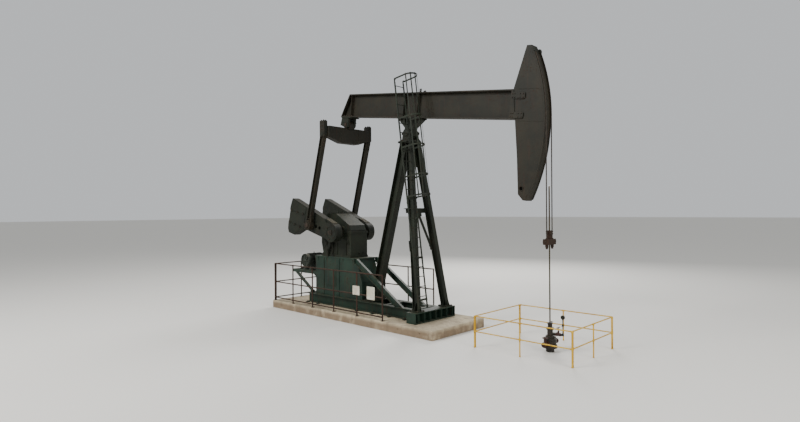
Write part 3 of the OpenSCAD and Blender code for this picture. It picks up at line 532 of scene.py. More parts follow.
for side in both:
    spots = list(product((-0.235, 0.235), (-0.315, 0, 0.315))) + list(product((-0.08, 0.08), (-0.315, 0.315)))
    hatch_spots += bolts([hatch_middle + Vector((x, side * 0.453, z)) for x, z in spots], (0, side, 0), 12)
bolt_set(hatch_spots, "pedestal_hatch_bolts")


def drawn_in(piece, test, scale, towards):
    """Scales the picked faces of a piece towards a point."""
    pick(piece, test)
    bpy.ops.transform.resize(value=scale, center_override=towards)
    object_mode()
    return piece


# Gussets under the deck's edge
gussets = []
for side, x in product(both, (-4.45, -3.95, -3.00, -2.45)):
    gusset = start_block((-0.006, 0, 0), (0.006, 0.02, 0.16))
    drawn_in(gusset, lambda centre, normal: normal.y > 0.9, (1, 1, 0.15), (0, 0.02, 0.16))
    turned = Matrix.Rotation(0 if side > 0 else math.pi, 4, "Z")
    gussets.append(placed(gusset, Matrix.Translation((x, side * 0.44, 1.888)) @ turned))
finish(gussets, "deck_gussets", green_paint)


# Gear case: two castings bolted along the shafts' line, painted a green that is nearly black.
# Bearing caps stand out round the shaft, ribs stiffen the sides, and oil has darkened the foot.
dark_paint = weathered_paint("black_green_enamel", "#151a12", "#1e2418", "#2a1e14", "#3b382a", 0.4, 0.62)
cast_paint = weathered_paint("painted_casting", "#141811", "#1c2016", "#281d14", "#393428", 0.35, 0.68)
dress(dark_paint, "gear_case", "gear_case_cover", "belt_guard", "near_front_leg", "far_front_leg", "rear_leg")
dress(dark_paint, "leg_bracing", "post_top", "ladder", "ladder_cage")
dress(cast_paint, "brake", "bearing_blocks", "saddle", "tail_bearing", "near_crank", "far_crank")
dress(cast_paint, "near_counterweights", "far_counterweights", "belt_sheaves")


def circle(centre, radius, count, first=0.0, step=None, flat=False):
    """Points round a centre at even turns, or at a step in degrees, in an upright plane across y, or flat."""
    points = []
    for k in range(count):
        angle = math.radians(first + k * (step or 360 / count))
        across, along = radius * math.cos(angle), radius * math.sin(angle)
        points.append(Vector(centre) + Vector((across, along, 0) if flat else (across, 0, along)))
    return points


flange_x = (-4.26, -4.08, -3.88, -3.68, -3.48, -2.80, -2.64)
case_spots = bolts(product(flange_x, (-0.396, 0.396), (3.060,)), up, 20)
case_spots += bolts(product(flange_x, (-0.411, 0.411), (2.980,)), down, 14)
case_spots += bolts(product((-4.16, -3.86, -3.48, -3.08, -2.72), (-0.418, 0.418), (2.170,)), up, 16)
case_spots += bolts(product((-4.316, -2.586), (-0.27, -0.09, 0.09, 0.27), (3.060,)), up, 16)
case_spots += bolts(product((-3.92, -3.77, -3.62), (-0.18, 0.18), (3.740,)), up, 12)
case_spots += bolts(product((-3.92, -3.62), (-0.06, 0.06), (3.740,)), up, 12)
for side in both:
    case_spots += bolts(circle((-3.1, side * 0.46, 3.02), 0.165, 8, 22.5), (0, side, 0), 20)
bolt_set(case_spots, "gear_case_bolts")

# Ribs on both sides, tapered to nothing at the top, cast in one with the case
ribs = []
for side in both:
    for x in (-3.62, -3.36, -2.86):
        rib = start_block((x - 0.012, side * 0.398, 2.172), (x + 0.012, side * 0.434, 2.93))
        ribs.append(soften(drawn_in(rib, top, (0.7, 0.3, 1), (x, side * 0.398, 2.93)), 0.005, 2))
    for x in (-3.28, -2.92):
        rib = start_block((x - 0.012, side * 0.368, 3.062), (x + 0.012, side * 0.43, 3.20))
        ribs.append(soften(drawn_in(rib, top, (0.8, 0.2, 1), (x, side * 0.368, 3.20)), 0.005, 2))
finish(ribs, "gear_case_ribs", dark_paint)


def start_tube(radius, height, wall, sides=32, base=(0, 0, 0)):
    """An upright open tube that stands on a point, its wall inside its radius."""
    tube = start_round(radius, height, sides, base, "NOTHING")
    return changed(tube, "SOLIDIFY", thickness=wall, offset=-1, use_even_offset=True)


# Oil gauge, drain plugs and the breather's cap
gauge = [start_tube(0.055, 0.022, 0.014, 32), bevelled(start_round(0.043, 0.006, 32), 0.002, 2, top)]
oil_fittings = [placed(part, standing((-2.74, -0.40, 2.62), (0, -1, 0))) for part in gauge]
drain = stepped(start_round(0.035, 0.02, 24), (0.7, 0.025))
oil_fittings += copies(drain, [standing((-2.60, y, 2.26), (1, 0, 0)) for y in (0.0, 0.22)])
finish(oil_fittings, "oil_fittings", cast_paint)
breather = stepped(start_round(0.05, 0.035, 32, (-3.53, 0, 3.79)), (0.8, 0.008), centre=(-3.53, 0, 0))
finish([soften(breather, 0.004, 2)], "breather_cap", cast_paint)


def start_ring(radius, wire, steps, place, turn=(0, 0, 0)):
    """A round ring of round wire, its axis turned from upright."""
    nothing_selected()
    bpy.ops.mesh.primitive_torus_add(
        major_radius=radius, minor_radius=wire, major_segments=steps[0], minor_segments=steps[1],
        location=place, rotation=turn)
    return bpy.context.object


# Lifting eyes: forged rings on collars at the cover's four upper corners
eye_ring = start_ring(0.03, 0.009, (24, 10), (0, 0, 0.042), (math.pi / 2, 0, 0))
eye = joined([eye_ring, bevelled(start_round(0.022, 0.014, 20), 0.004, 2, top)], "eye_model")
eye_places = [Matrix.Translation(spot) for spot in product((-3.95, -3.485), (-0.3, 0.3), (3.709,))]
finish(copies(eye, eye_places, True), "lifting_eyes", cast_paint)


# Motor: a closed, fan-cooled motor with a cast frame. Long thin fins run along the frame,
# a wire grille covers the fan, and a boxed lid on its side covers the terminals.
motor_enamel = weathered_paint("motor_enamel", "#333b37", "#434841", "#3a2a1e", "#595343", 0.35, 0.42)
motor_middle = Vector((-5.4, 0, 1.855))
motor_axis = Matrix.Translation(motor_middle) @ Matrix.Rotation(math.radians(-90), 4, "X")
forward, back = (1, 0, 0), (-1, 0, 0)
near_way, far_way = (0, -1, 0), (0, 1, 0)


def ring_of(model, count, first=0.0):
    """Copies of a model at even turns about the upright axis."""
    turns = [math.radians(first + 360 * k / count) for k in range(count)]
    return copies(model, [Matrix.Rotation(turn, 4, "Z") for turn in turns])


fin = start_block((0.236, -0.004, -0.255), (0.27, 0.004, 0.375))
shield = stepped(start_round(0.262, 0.03, 64, (0, 0, 0.375)), (0.86, 0.014), (0.62, 0.016), (0.88, 0.014))
shield_rib = start_block((0.12, -0.005, 0.39), (0.222, 0.005, 0.438))
spoke = start_block((0.045, -0.002, -0.396), (0.252, 0.002, -0.391))
fan_blade = start_block((0.045, -0.002, -0.385), (0.215, 0.002, -0.33))
pick(fan_blade, under)
bpy.ops.transform.translate(value=(0, 0.02, 0))
object_mode()
motor_parts = [
    start_round(0.243, 0.65, 64, (0, 0, -0.27)),
    soften(shield, 0.003, 2),
    bevelled(start_round(0.035, 0.14, 32, (0, 0, 0.446)), 0.003),
    start_round(0.25, 0.06, 64, (0, 0, -0.325)),
    start_tube(0.254, 0.095, 0.003, 64, (0, 0, -0.40)),
    bevelled(start_round(0.055, 0.07, 32, (0, 0, -0.388)), 0.008, 3)]
grille_wires = (0.05, 0.085, 0.12, 0.155, 0.19, 0.225)
motor_parts += [start_tube(radius, 0.005, 0.004, 40, (0, 0, -0.398)) for radius in grille_wires]
motor_parts += ring_of(drawn_in(fin, front, (1, 0.45, 0.98), (0.27, 0, 0.06)), 44)
motor_parts += ring_of(drawn_in(shield_rib, front, (1, 1, 0.35), (0.222, 0, 0.39)), 8, 22.5)
motor_parts += ring_of(soften(spoke, 0.001), 12) + ring_of(fan_blade, 7)
for part in motor_parts:
    placed(part, motor_axis)

# Feet, ribbed and bolted down, and the terminal box with its lid and its plugged hub
for x in (-5.59, -5.21):
    pad = start_block((x - 0.055, -0.30, 1.4812), (x + 0.055, 0.34, 1.512))
    motor_parts += [soften(pad, 0.006, 2), start_block((x - 0.016, -0.275, 1.505), (x + 0.016, 0.315, 1.735))]
    for y in (-0.26, 0.02, 0.30):
        brace = start_block((x - 0.045, y - 0.007, 1.505), (x + 0.045, y + 0.007, 1.60))
        motor_parts.append(drawn_in(brace, top, (0.4, 1, 1), (x, y, 1.6)))
box_lid = start_block((-5.028, -0.078, 1.787), (-5.004, 0.198, 2.013))
pick(box_lid, front)
bpy.ops.mesh.inset(thickness=0.025, depth=0)
bpy.ops.transform.translate(value=(0.004, 0, 0))
object_mode()
motor_parts += [
    soften(start_block((-5.18, -0.07, 1.795), (-5.03, 0.19, 2.005)), 0.01, 3),
    soften(box_lid, 0.003, 2),
    start_round(0.026, 0.04, 24, (-5.105, 0.06, 1.757)),
    soften(start_round(0.019, 0.018, 6, (-5.105, 0.06, 1.741)), 0.002)]
motor_parts += copies(eye, [Matrix.Translation((-5.4, 0.06, 2.094))])
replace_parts(finish(motor_parts, "motor_body", motor_enamel), "motor")


def bolts_out(centre, points, size):
    """Bolts at points round a centre, their heads pointing outwards."""
    return [bolt_at(point, point - Vector(centre), size) for point in points]


cowl_middle = motor_middle + Vector((0, -0.36, 0))
motor_spots = bolts(product((-5.622, -5.178), (-0.24, 0.28), (1.512,)), up, 20)
motor_spots += bolts(product((-5.004,), (-0.06, 0.18), (1.805, 1.995)), forward, 9)
motor_spots += bolts(circle(motor_middle + Vector((0, 0.405, 0)), 0.242, 8), far_way, 12)
motor_spots += bolts_out(cowl_middle, circle(cowl_middle, 0.254, 8), 7)
bolt_set(motor_spots, "motor_bolts")

# Screws that slide the motor to tighten its belts, each through a lug on the platform
adjusters = []
for y in (-0.2, 0.24):
    adjusters.append(clipped_plate((-5.80, y - 0.045, 1.4805), (-5.784, y + 0.045, 1.55), 0, 0.012))
    adjusters.append(bar((-5.852, y, 1.524), (-5.642, y, 1.524), 0.009, 16))
    nuts = [bolt_at((x, y, 1.524), way, 14) for x, way in ((-5.803, back), (-5.781, forward), (-5.85, back))]
    adjusters += copies(bolt, nuts, True)
finish(adjusters, "motor_adjusters", bolt_steel)


# Belt drive: two cast sheaves on taper bushes, and a set of four wrapped rubber V-belts.
# Dust dulls the belts' backs, and their sides are polished by the grooves.
belt_rubber, shader, where = new_material("wrapped_belt_rubber")
cloth_wrap = lumps(belt_rubber, where, 420, detail=2)
colour = coats(
    belt_rubber, "#171614",
    ("#2c2822", (lumps(belt_rubber, where, 14), 0.4, 0.7)),
    ("#3a352c", (cloth_wrap, 0.5, 0.75)))
surface(belt_rubber, shader, colour, 0.72, cloth_wrap, 0.0006)
dress(belt_rubber, "drive_belts")

input_middle = Vector((-3.86, 0, 2.60))
bush_plate = stepped(start_round(0.105, 0.016, 40), (0.86, 0.01), (0.72, -0.008))
bush_bolts = ring_of(copies(bolt, [bolt_at((0.078, 0, 0.025), up, 14)], True)[0], 3)
bush = joined([soften(bush_plate, 0.002)] + bush_bolts, "bush_model")
input_face = standing(input_middle + Vector((0, 0.4765, 0)), near_way)
motor_face = standing(motor_middle + Vector((0, 0.586, 0)), far_way)
sheave_rib = start_block((0.10, -0.008, -0.004), (0.33, 0.008, 0.012))
sheave_parts = ring_of(drawn_in(sheave_rib, top, (0.96, 0.6, 1), (0.215, 0, 0.012)), 6, 30)
sheave_parts.append(start_tube(0.40, 0.008, 0.03, 64))
for part in sheave_parts:
    placed(part, input_face)
sheave_parts += copies(bush, [input_face, motor_face @ Matrix.Scale(0.8, 4)])
finish(sheave_parts, "sheave_details", cast_paint)


# Belt guard: sheet steel bent and welded into a pan over both sheaves, painted like the case.
# A raised panel stiffens it, a small door shows the belts, and bolts hold it to its brackets.
between = input_middle - motor_middle
apart = between.length
guard_place = Matrix.Translation(motor_middle + Vector((0, 0.608, 0))) @ Matrix.Rotation(math.pi / 2, 4, "X")
guard_place = guard_place @ Matrix.Rotation(math.atan2(between.z, between.x), 4, "Z")
guard_place = guard_place @ Matrix.Rotation(math.pi, 4, "X")


def pan(first, second, thick):
    """A flat plate round both shafts, of one radius at the motor and another at the gear case."""
    plate = joined([start_round(first, thick, 48), start_round(second, thick, 64, (apart, 0, 0))], "pan")
    bpy.ops.object.mode_set(mode="EDIT")
    bpy.ops.mesh.select_all(action="SELECT")
    bpy.ops.mesh.convex_hull()
    object_mode()
    return plate


panel = pan(0.13, 0.42, 0.004)
pick(panel, top)
bpy.ops.mesh.inset(thickness=0.012, depth=0)
bpy.ops.transform.translate(value=(0, 0, 0.008))
object_mode()
edge_bar = pan(0.19, 0.48, 0.006)
pick(edge_bar, top)
bpy.ops.mesh.inset(thickness=0.022, depth=0)
bpy.ops.mesh.delete(type="FACE")
object_mode()
pick(edge_bar, under)
bpy.ops.mesh.delete(type="FACE")
object_mode()
guard_parts = [
    panel, edge_bar,
    clipped_plate((0.70, -0.11, 0.010), (0.94, 0.11, 0.018), 2, 0.02),
    bar((0.69, -0.10, 0.02), (0.69, 0.10, 0.02), 0.008, 16),
    soften(start_round(0.018, 0.016, 20, (0.90, 0, 0.016)), 0.003, 2)]
finish(guard_parts, "belt_guard_panel", dark_paint, place=guard_place)
guard_spots = bolts(circle((apart, 0, 0.004), 0.45, 7, -75, 25, flat=True), up, 12)
guard_spots += bolts(circle((0, 0, 0.004), 0.16, 3, 120, 60, flat=True), up, 12)
for side, x in product(both, (0.25, 0.6, 0.95, 1.3)):
    guard_spots.append(bolt_at((x, side * (0.165 + 0.29 * x / apart), 0.004), up, 12))
bolt_set(guard_spots, "belt_guard_bolts", place=guard_place)


# Brake: a cast drum on the high-speed shaft, gripped by a lined steel band.
# The band's ends meet in two lugs with a long bolt, and a lever pulls them together.
drum_face = standing(input_middle + Vector((0, -0.525, 0)), near_way)
band_back = standing(input_middle + Vector((0, -0.44, 0)), near_way)
band_middle = input_middle + Vector((0, -0.475, 0))
drum_hub = stepped(start_round(0.085, 0.022, 40), (0.65, 0.02))
brake_parts = ring_of(start_block((0.07, -0.008, -0.002), (0.235, 0.008, 0.009)), 6)
brake_parts += [soften(drum_hub, 0.003, 2), start_tube(0.25, 0.010, 0.022, 64)]
for part in brake_parts:
    placed(part, drum_face)
brake_parts += [
    placed(start_tube(0.262, 0.07, 0.008, 96), band_back),
    clipped_plate((-3.63, -0.508, 2.627), (-3.555, -0.442, 2.639), 2, 0.01),
    clipped_plate((-3.63, -0.508, 2.557), (-3.555, -0.442, 2.569), 2, 0.01),
    start_round(0.009, 0.15, 16, (-3.578, -0.475, 2.535)),
    clipped_plate((-3.595, -0.482, 2.14), (-3.560, -0.468, 2.56), 1, 0.012),
    clipped_plate((-3.64, -0.468, 2.102), (-3.52, -0.440, 2.19), 1, 0.02)]
band_spots = [bolt_at((-3.578, -0.475, 2.639), up, 16), bolt_at((-3.578, -0.475, 2.557), down, 16)]
band_spots += bolts_out(band_middle, circle(band_middle, 0.262, 6, 30), 8)
finish(brake_parts + copies(bolt, band_spots, True), "brake_band", cast_paint)


# Post: three rolled I sections that lean together, bolted through thick foot plates.
# Gussets stand round each foot and under the top, and a girt with two knees ties the front pair.
leg_slope = math.atan2(0.75, 5.44)
foot_top = 0.6605


def tapered_plate(first, last, axis, at, share):
    """A plate whose top edge is drawn in along an axis towards a place, to a share of its width."""
    scale = [1, 1, 1]
    scale[axis] = share
    middle = (Vector(first) + Vector(last)) / 2
    middle[axis] = at
    return soften(drawn_in(start_block(first, last), top, scale, middle), 0.0015)


leg_plates = []
for side in both:
    y = side * 0.70
    for inner, outer in ((y - 0.057, y - 0.043), (y + 0.043, y + 0.057)):
        leg_plates.append(tapered_plate((0.93, inner, foot_top), (1.03, outer, 0.86), 0, 0.93, 0.15))
        leg_plates.append(tapered_plate((0.705, inner, foot_top), (0.79, outer, 0.86), 0, 0.745, 0.2))
    for way in both:
        inner, outer = y + way * 0.004, y + way * 0.155
        leg_plates.append(tapered_plate((0.858, inner, foot_top), (0.872, outer, 0.90), 1, y, 0.35))
    leg_plates += [weld((x, y - 0.08, 0.662), (x, y + 0.08, 0.662)) for x in (0.985, 0.755)]
    inner, outer = side * 0.125, side * 0.44
    for x in (-1.82, -1.72, -1.62):
        first, last = (x - 0.007, inner, foot_top), (x + 0.007, outer, 0.98)
        leg_plates.append(tapered_plate(first, last, 1, inner, 0.2))
    inner, outer = side * 0.063, side * 0.077
    for first, last, at in ((-1.90, -1.74, -1.84), (-1.70, -1.54, -1.60)):
        leg_plates.append(tapered_plate((first, inner, foot_top), (last, outer, 0.86), 0, at, 0.2))
finish(leg_plates, "leg_foot_gussets", dark_paint)


def rear_of_legs(z):
    """Place on the rear flanges of the front legs at a height, with x forward and z up along them."""
    x = 0.87 - 0.13787 * (z - 0.63) - 0.11 / math.cos(leg_slope)
    return Matrix.Translation((x, 0, z)) @ Matrix.Rotation(-leg_slope, 4, "Y")


def leg_y(z):
    """How far the front legs stand from the middle at a height."""
    return 0.70 - 0.525 * (z - 0.63) / 5.44


# Bolts of the girt and its knees, with their nuts on the far side of the flanges, and of the
# gusset that closes the front legs below the top plate
post_spots = []
for z, reach in ((3.80, 0.05), (2.66, 0.12)):
    for side, dy, dz in product(both, (-0.055, 0.055), (-reach, reach)):
        y = side * leg_y(z) + dy
        post_spots.append(rear_of_legs(z) @ bolt_at((-0.0173, y, dz), back, 22))
        post_spots.append(rear_of_legs(z) @ bolt_at((0.018, y, dz), forward, 18))
tie_spots = list(product((-0.12, -0.04, 0.04, 0.12), (-0.015,))) + [(-0.125, -0.155), (0.125, -0.155)]
for y, z in tie_spots:
    post_spots.append(rear_of_legs(3.80) @ bolt_at((-0.0173, y, z), back, 22))
for z, side in product((5.32, 5.50, 5.68, 5.86), both):
    post_spots.append(rear_of_legs(z) @ bolt_at((-0.0153, side * (leg_y(z) - 0.04), 0), back, 20))
for x, y in ((0.05, 0.27), (0.19, 0.26), (-0.10, 0.285), (-0.26, 0.24), (-0.33, 0.12), (0.25, 0.06)):
    post_spots += bolts(((x, -y, 6.1095), (x, y, 6.1095)), up, 24)
bolt_set(post_spots, "post_bolts")

# Stiffeners under the top plate, between it and the legs' flanges
stiffeners = []
for side in both:
    plate = start_block((-0.262, side * 0.13, 5.86), (-0.248, side * 0.28, 6.068))
    stiffeners.append(drawn_in(plate, under, (1, 0.15, 1), (-0.255, side * 0.13, 5.86)))
    for x in (0.03, 0.20):
        plate = start_block((x - 0.006, side * 0.20, 5.93), (x + 0.006, side * 0.31, 6.068))
        stiffeners.append(drawn_in(plate, under, (1, 0.2, 1), (x, side * 0.20, 5.93)))
finish(stiffeners, "post_top_stiffeners", dark_paint)


# Centre bearings: two cast pillow blocks that carry the beam's shaft on the post's top plate.
# Each is split at the shaft, with four cap bolts, a bolted end cover and a grease fitting.
pivot_z = 6.37
grease = stepped(start_round(0.008, 0.012, 6), (0.6, 0.014), (1.5, 0.006))
bearing_parts = []
bearing_spots = []
for side in both:
    y = side * 0.17
    for way in both:
        for z in (6.335, 6.371):
            ear = start_block((way * 0.13, y - 0.04, z), (way * 0.215, y + 0.04, z + 0.034))
            bearing_parts.append(soften(ear, 0.006, 2))
        bearing_spots += bolts(product((way * 0.190,), (y - 0.02, y + 0.02), (6.405,)), up, 16)
        bearing_spots += bolts(product((way * 0.190,), (y - 0.02, y + 0.02), (6.335,)), down, 16)
        bearing_spots.append(bolt_at((way * 0.212, y, 6.160), up, 26))
    face = standing((0, side * 0.2155, pivot_z), (0, side, 0))
    end_cover = stepped(start_round(0.136, 0.008, 48), (0.84, 0.005))
    bearing_parts.append(placed(soften(end_cover, 0.002), face))
    bearing_parts.append(placed(soften(start_round(0.102, 0.035, 40), 0.006, 2), face))
    bearing_spots += bolts(circle((0, side * 0.2235, pivot_z), 0.124, 6), (0, side, 0), 10)
finish(bearing_parts, "centre_bearing_caps", cast_paint)
bolt_set(bearing_spots, "centre_bearing_bolts")
nipples = copies(grease, [Matrix.Translation((0, side * 0.17, 6.523)) for side in both], True)
finish(nipples, "grease_fittings", bolt_steel)


# Ladder: two pipe rails with rungs let through them, held off the post by clamped brackets.
# Flat hoops and straps make the cage; every crossing has a small round-headed bolt.
def on_ladder(z):
    """Place on the ladder's middle line at a height, with x out of it and z up along it."""
    return Matrix.Translation((1.0611 - 0.13787 * (z - 0.63), -0.60, z)) @ Matrix.Rotation(-leg_slope, 4, "Y")


clamps = []
ladder_spots = []
rung_ends = []
for side in both:
    for z in (1.0, 2.3, 4.05, 5.76):
        strap = start_tube(0.0325, 0.05, 0.006, 24, (0, side * 0.20, -0.025))
        clamps.append(placed(strap, on_ladder(z)))
        ladder_spots.append(on_ladder(z) @ bolt_at((-0.005, side * 0.155, 0.0), forward, 10))
    rail_end = start_round(0.0215, 0.115, 24, (0, side * 0.20, -0.015))
    clamps.append(placed(bevelled(rail_end, 0.006, 3, top), on_ladder(7.95)))
    for k in range(24):
        place = on_ladder(0.81 + 0.305 * k) @ standing((0, side * 0.2225, 0), (0, side, 0))
        rung_ends.append(placed(start_tube(0.0155, 0.004, 0.003, 12), place))
finish(clamps, "ladder_clamps", dark_paint)
finish(rung_ends, "rung_welds", dark_paint)

cage_length = (8.01 - 4.20) / math.cos(leg_slope)
cage_place = on_ladder(4.20) @ Matrix.Translation((0.0265, 0, 0))
for along in (0.0, 0.640, 1.584, 2.528, cage_length):
    middle = Vector((0.46, 0, along + 0.025))
    hoop_spots = bolts_out(middle, circle(middle, 0.246, 5, -82, 41, flat=True), 9)
    hoop_spots += bolts(product((0.012,), (-0.2, 0.2), (along + 0.025,)), forward, 9)
    ladder_spots += [cage_place @ spot for spot in hoop_spots]
bolt_set(ladder_spots, "ladder_bolts")


# Crank guards: welded pipe rail on three sides of the cranks, brown with old primer and rust.
# Each post stands on a small plate that is bolted to the edge of the concrete.
rail_rust = weathered_paint("rusty_pipe_primer", "#241811", "#33231a", "#4a2a19", "#574838", 0.9, 0.7)


def row(first, last, count):
    """Points at even steps from a first to a last."""
    return [first.lerp(last, k / (count - 1)) for k in range(count)]


def above(point, height):
    """A point raised by a height."""
    return Vector(point) + Vector((0, 0, height))


def collar(point, direction, radius, length):
    """A short weld or fitting ring round a pipe."""
    ring = start_round(radius, length, 20, (0, 0, -length / 2))
    return placed(soften(ring, min(0.004, length / 3), 2), standing(point, direction))


def beside_posts(places, step):
    """Points on a rail at both sides of its posts, but not past its ends."""
    return [place + step for place in places[:-1]] + [place - step for place in places[1:]]


def guard_panel(first, last, posts, inward, name, node):
    """One side of the crank guard, from end to end, with its posts and three rails."""
    first, last, inward = Vector(first), Vector(last), Vector(inward)
    along = (last - first).normalized()
    places = row(first, last, posts)
    made = []
    spots = []
    for place in places:
        foot = place + inward * 0.017
        plate = start_block(foot + Vector((-0.05, -0.05, 0.282)), foot + Vector((0.05, 0.05, 0.299)))
        cap = stepped(start_round(0.024, 0.006, 20), (0.85, 0.009), (0.6, 0.003))
        made += [bar(above(place, 0.292), above(place, 1.742), 0.024), soften(plate, 0.002)]
        made.append(placed(cap, Matrix.Translation(above(place, 1.742))))
        made.append(collar(above(place, 0.301), up, 0.030, 0.008))
        spots += [above(place + inward * 0.048 + along * way, 0.299) for way in (-0.036, 0.036)]
    for level in (0.41, 1.025, 1.7365):
        made.append(bar(above(first, level), above(last, level), 0.022))
        weld_spots = [above(spot, level) for spot in beside_posts(places, along * 0.025)]
        made += [collar(spot, along, 0.0265, 0.008) for spot in weld_spots]
    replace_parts(finish(made, name, rail_rust), node)
    bolt_set(bolts(spots, up, 10), name + "_bolts")


guard_panel((-6.2, -1.262, 0), (-0.10, -1.262, 0), 6, far_way, "near_guard_rail", "near_crank_guard")
guard_panel((-6.2, 1.262, 0), (-0.10, 1.262, 0), 6, near_way, "far_guard_rail", "far_crank_guard")
guard_panel((-6.2, -1.213, 0), (-6.2, 1.213, 0), 3, forward, "rear_guard_rail", "rear_crank_guard")


# Sign plates: two bare sheets of white enamelled steel, hung on the near rail with wire ties.
# Rain has run rust down from the corner holes, and dust has yellowed them.
sign_enamel, shader, where = new_material("white_sign_enamel")
colour = coats(
    sign_enamel, "#cfccbf",
    ("#b9b19b", (lumps(sign_enamel, where, 3.5), 0.35, 0.7)),
    ("#8a6b4a", (lumps(sign_enamel, where, 26, stretch=(1, 1, 0.12)), 0.55, 0.75), 0.5),
    ("#5d4c3a", (lumps(sign_enamel, where, 110), 0.66, 0.72)))
surface(sign_enamel, shader, colour, 0.38, lumps(sign_enamel, where, 7), 0.0008)
dress(sign_enamel, "sign_plates")
sign_hardware = []
hems = []
for x0, x1, z0, z1 in ((-1.50, -1.16, 1.001, 1.301), (-0.80, -0.43, 0.915, 1.335)):
    corners = product((x0 + 0.022, x1 - 0.022), (-1.2888,), (z0 + 0.022, z1 - 0.022))
    sign_hardware += copies(bolt, bolts(corners, near_way, 7), True)
    for x in (x0 + 0.06, x1 - 0.06):
        sign_hardware.append(start_ring(0.0255, 0.0018, (24, 6), (x, -1.263, 1.025), (0, math.pi / 2, 0)))
    strips = (
        (x0, x1, z0, z0 + 0.006),
        (x0, x1, z1 - 0.006, z1),
        (x0, x0 + 0.006, z0, z1),
        (x1 - 0.006, x1, z0, z1))
    for left, right, low, high in strips:
        hems.append(soften(start_block((left, -1.2905, low), (right, -1.2865, high)), 0.0008))
finish(hems, "sign_hems", sign_enamel)
finish(sign_hardware, "sign_screws_and_ties", bolt_steel)


# Well rail: yellow pipe in four panels, joined with clamp fittings at each post.
# The paint is sun-bleached on top, scuffed to red primer at hand height and dirty at the foot.
yellow_enamel = weathered_paint("yellow_rail_enamel", "#b58a12", "#c9a32c", "#7a4a1e", "#a8905c", 0.55, 0.5)


def well_panel(first, last, posts, name, node):
    """One side of the well rail, with its posts, two rails and the fittings at each crossing."""
    first, last = Vector(first), Vector(last)
    along = (last - first).normalized()
    outward = Vector((along.y, -along.x, 0))
    places = row(first, last, posts)
    made = []
    spots = []
    for place in places:
        made += [bar(place, above(place, 0.868), 0.0175), collar(above(place, 0.016), up, 0.0216, 0.03)]
    for level, fitting, height in ((0.445, 0.445, 0.085), (0.868, 0.838, 0.03)):
        made.append(bar(above(first, level), above(last, level), 0.0165))
        made += [collar(above(place, fitting), up, 0.0218, height) for place in places]
        sleeve_spots = [above(spot, level) for spot in beside_posts(places, along * 0.032)]
        made += [collar(spot, along, 0.0212, 0.03) for spot in sleeve_spots]
        spots += [above(place, level - 0.032) + outward * 0.0212 for place in places]
    for place in (first, last):
        nothing_selected()
        bpy.ops.mesh.primitive_uv_sphere_add(
            segments=20, ring_count=12, radius=0.0176, location=above(place, 0.868))
        knob = bpy.context.object
        pick(knob, lambda centre, normal: normal.z < -0.6)
        bpy.ops.mesh.inset(thickness=0.002, depth=0)
        object_mode()
        made.append(knob)
    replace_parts(finish(made, name, yellow_enamel, smooth=40), node)
    bolt_set(bolts(spots, outward, 6), name + "_screws")


well_panel((3.3, -1.03, 0), (6.15, -1.03, 0), 3, "near_well_pipes", "near_well_rail")
well_panel((3.3, 1.37, 0), (6.15, 1.37, 0), 3, "far_well_pipes", "far_well_rail")
well_panel((6.15, 1.3255, 0), (6.15, -0.9855, 0), 3, "front_well_pipes", "front_well_rail")
well_panel((3.3, -0.9855, 0), (3.3, 1.3255, 0), 2, "rear_well_pipes", "rear_well_rail")


# Wellhead: forged flanges with studs through them, and plugged side outlets with gate valves.
# The stuffing box above packs round the polished rod, and years of crude have blackened it.
greasy_iron = weathered_paint("oily_cast_steel", "#1b1a16", "#2a2620", "#3e2a1c", "#4b4232", 0.6, 0.38)
dress(greasy_iron, "wellhead", "stuffing_box")
rod_x = 5.03
stud_nut = bevelled(start_round(0.0185, 0.016, 6), 0.0015)
stud_parts = copies(stud_nut, [Matrix.Translation((0, 0, z)) for z in (0.0605, -0.0765)])
stud = joined([start_round(0.010, 0.155, 16, (0, 0, -0.0775))] + stud_parts, "stud_model")
stud_places = [Matrix.Translation(spot) for spot in circle((rod_x, 0, 0.30), 0.148, 12, 15, flat=True)]
finish(copies(stud, stud_places), "flange_studs", bolt_steel)
head_spots = bolts(circle((rod_x, 0, 0.1705), 0.165, 12, 15, flat=True), up, 20)
head_spots += bolts(circle((rod_x, 0, 0.110), 0.165, 12, 15, flat=True), down, 16)
head_spots += bolts(circle((rod_x, 0, 0.4205), 0.10, 6, flat=True), up, 12)
bolt_set(head_spots, "wellhead_bolts")

# Gland on the stuffing box: two swing bolts with wing nuts pull its cap down on the packing
gland_parts = [soften(start_tube(0.072, 0.026, 0.03, 40, (rod_x, 0, 0.735)), 0.003, 2)]
for side in both:
    y = side * 0.095
    gland_parts.append(clipped_plate((5.005, side * 0.05, 0.738), (5.055, side * 0.112, 0.756), 2, 0.012))
    gland_parts.append(bar((rod_x, y, 0.60), (rod_x, y, 0.80), 0.008, 16))
    gland_parts.append(soften(start_round(0.016, 0.02, 20, (rod_x, y, 0.756)), 0.003, 2))
    for way in both:
        wing = start_block((rod_x + way * 0.01, y - 0.004, 0.762), (rod_x + way * 0.045, y + 0.004, 0.785))
        drawn_in(wing, lambda centre, normal: normal.x * way > 0.9, (1, 0.6, 0.5), (rod_x, y, 0.785))
        gland_parts.append(soften(wing, 0.0015))
finish(gland_parts, "stuffing_box_gland", greasy_iron)

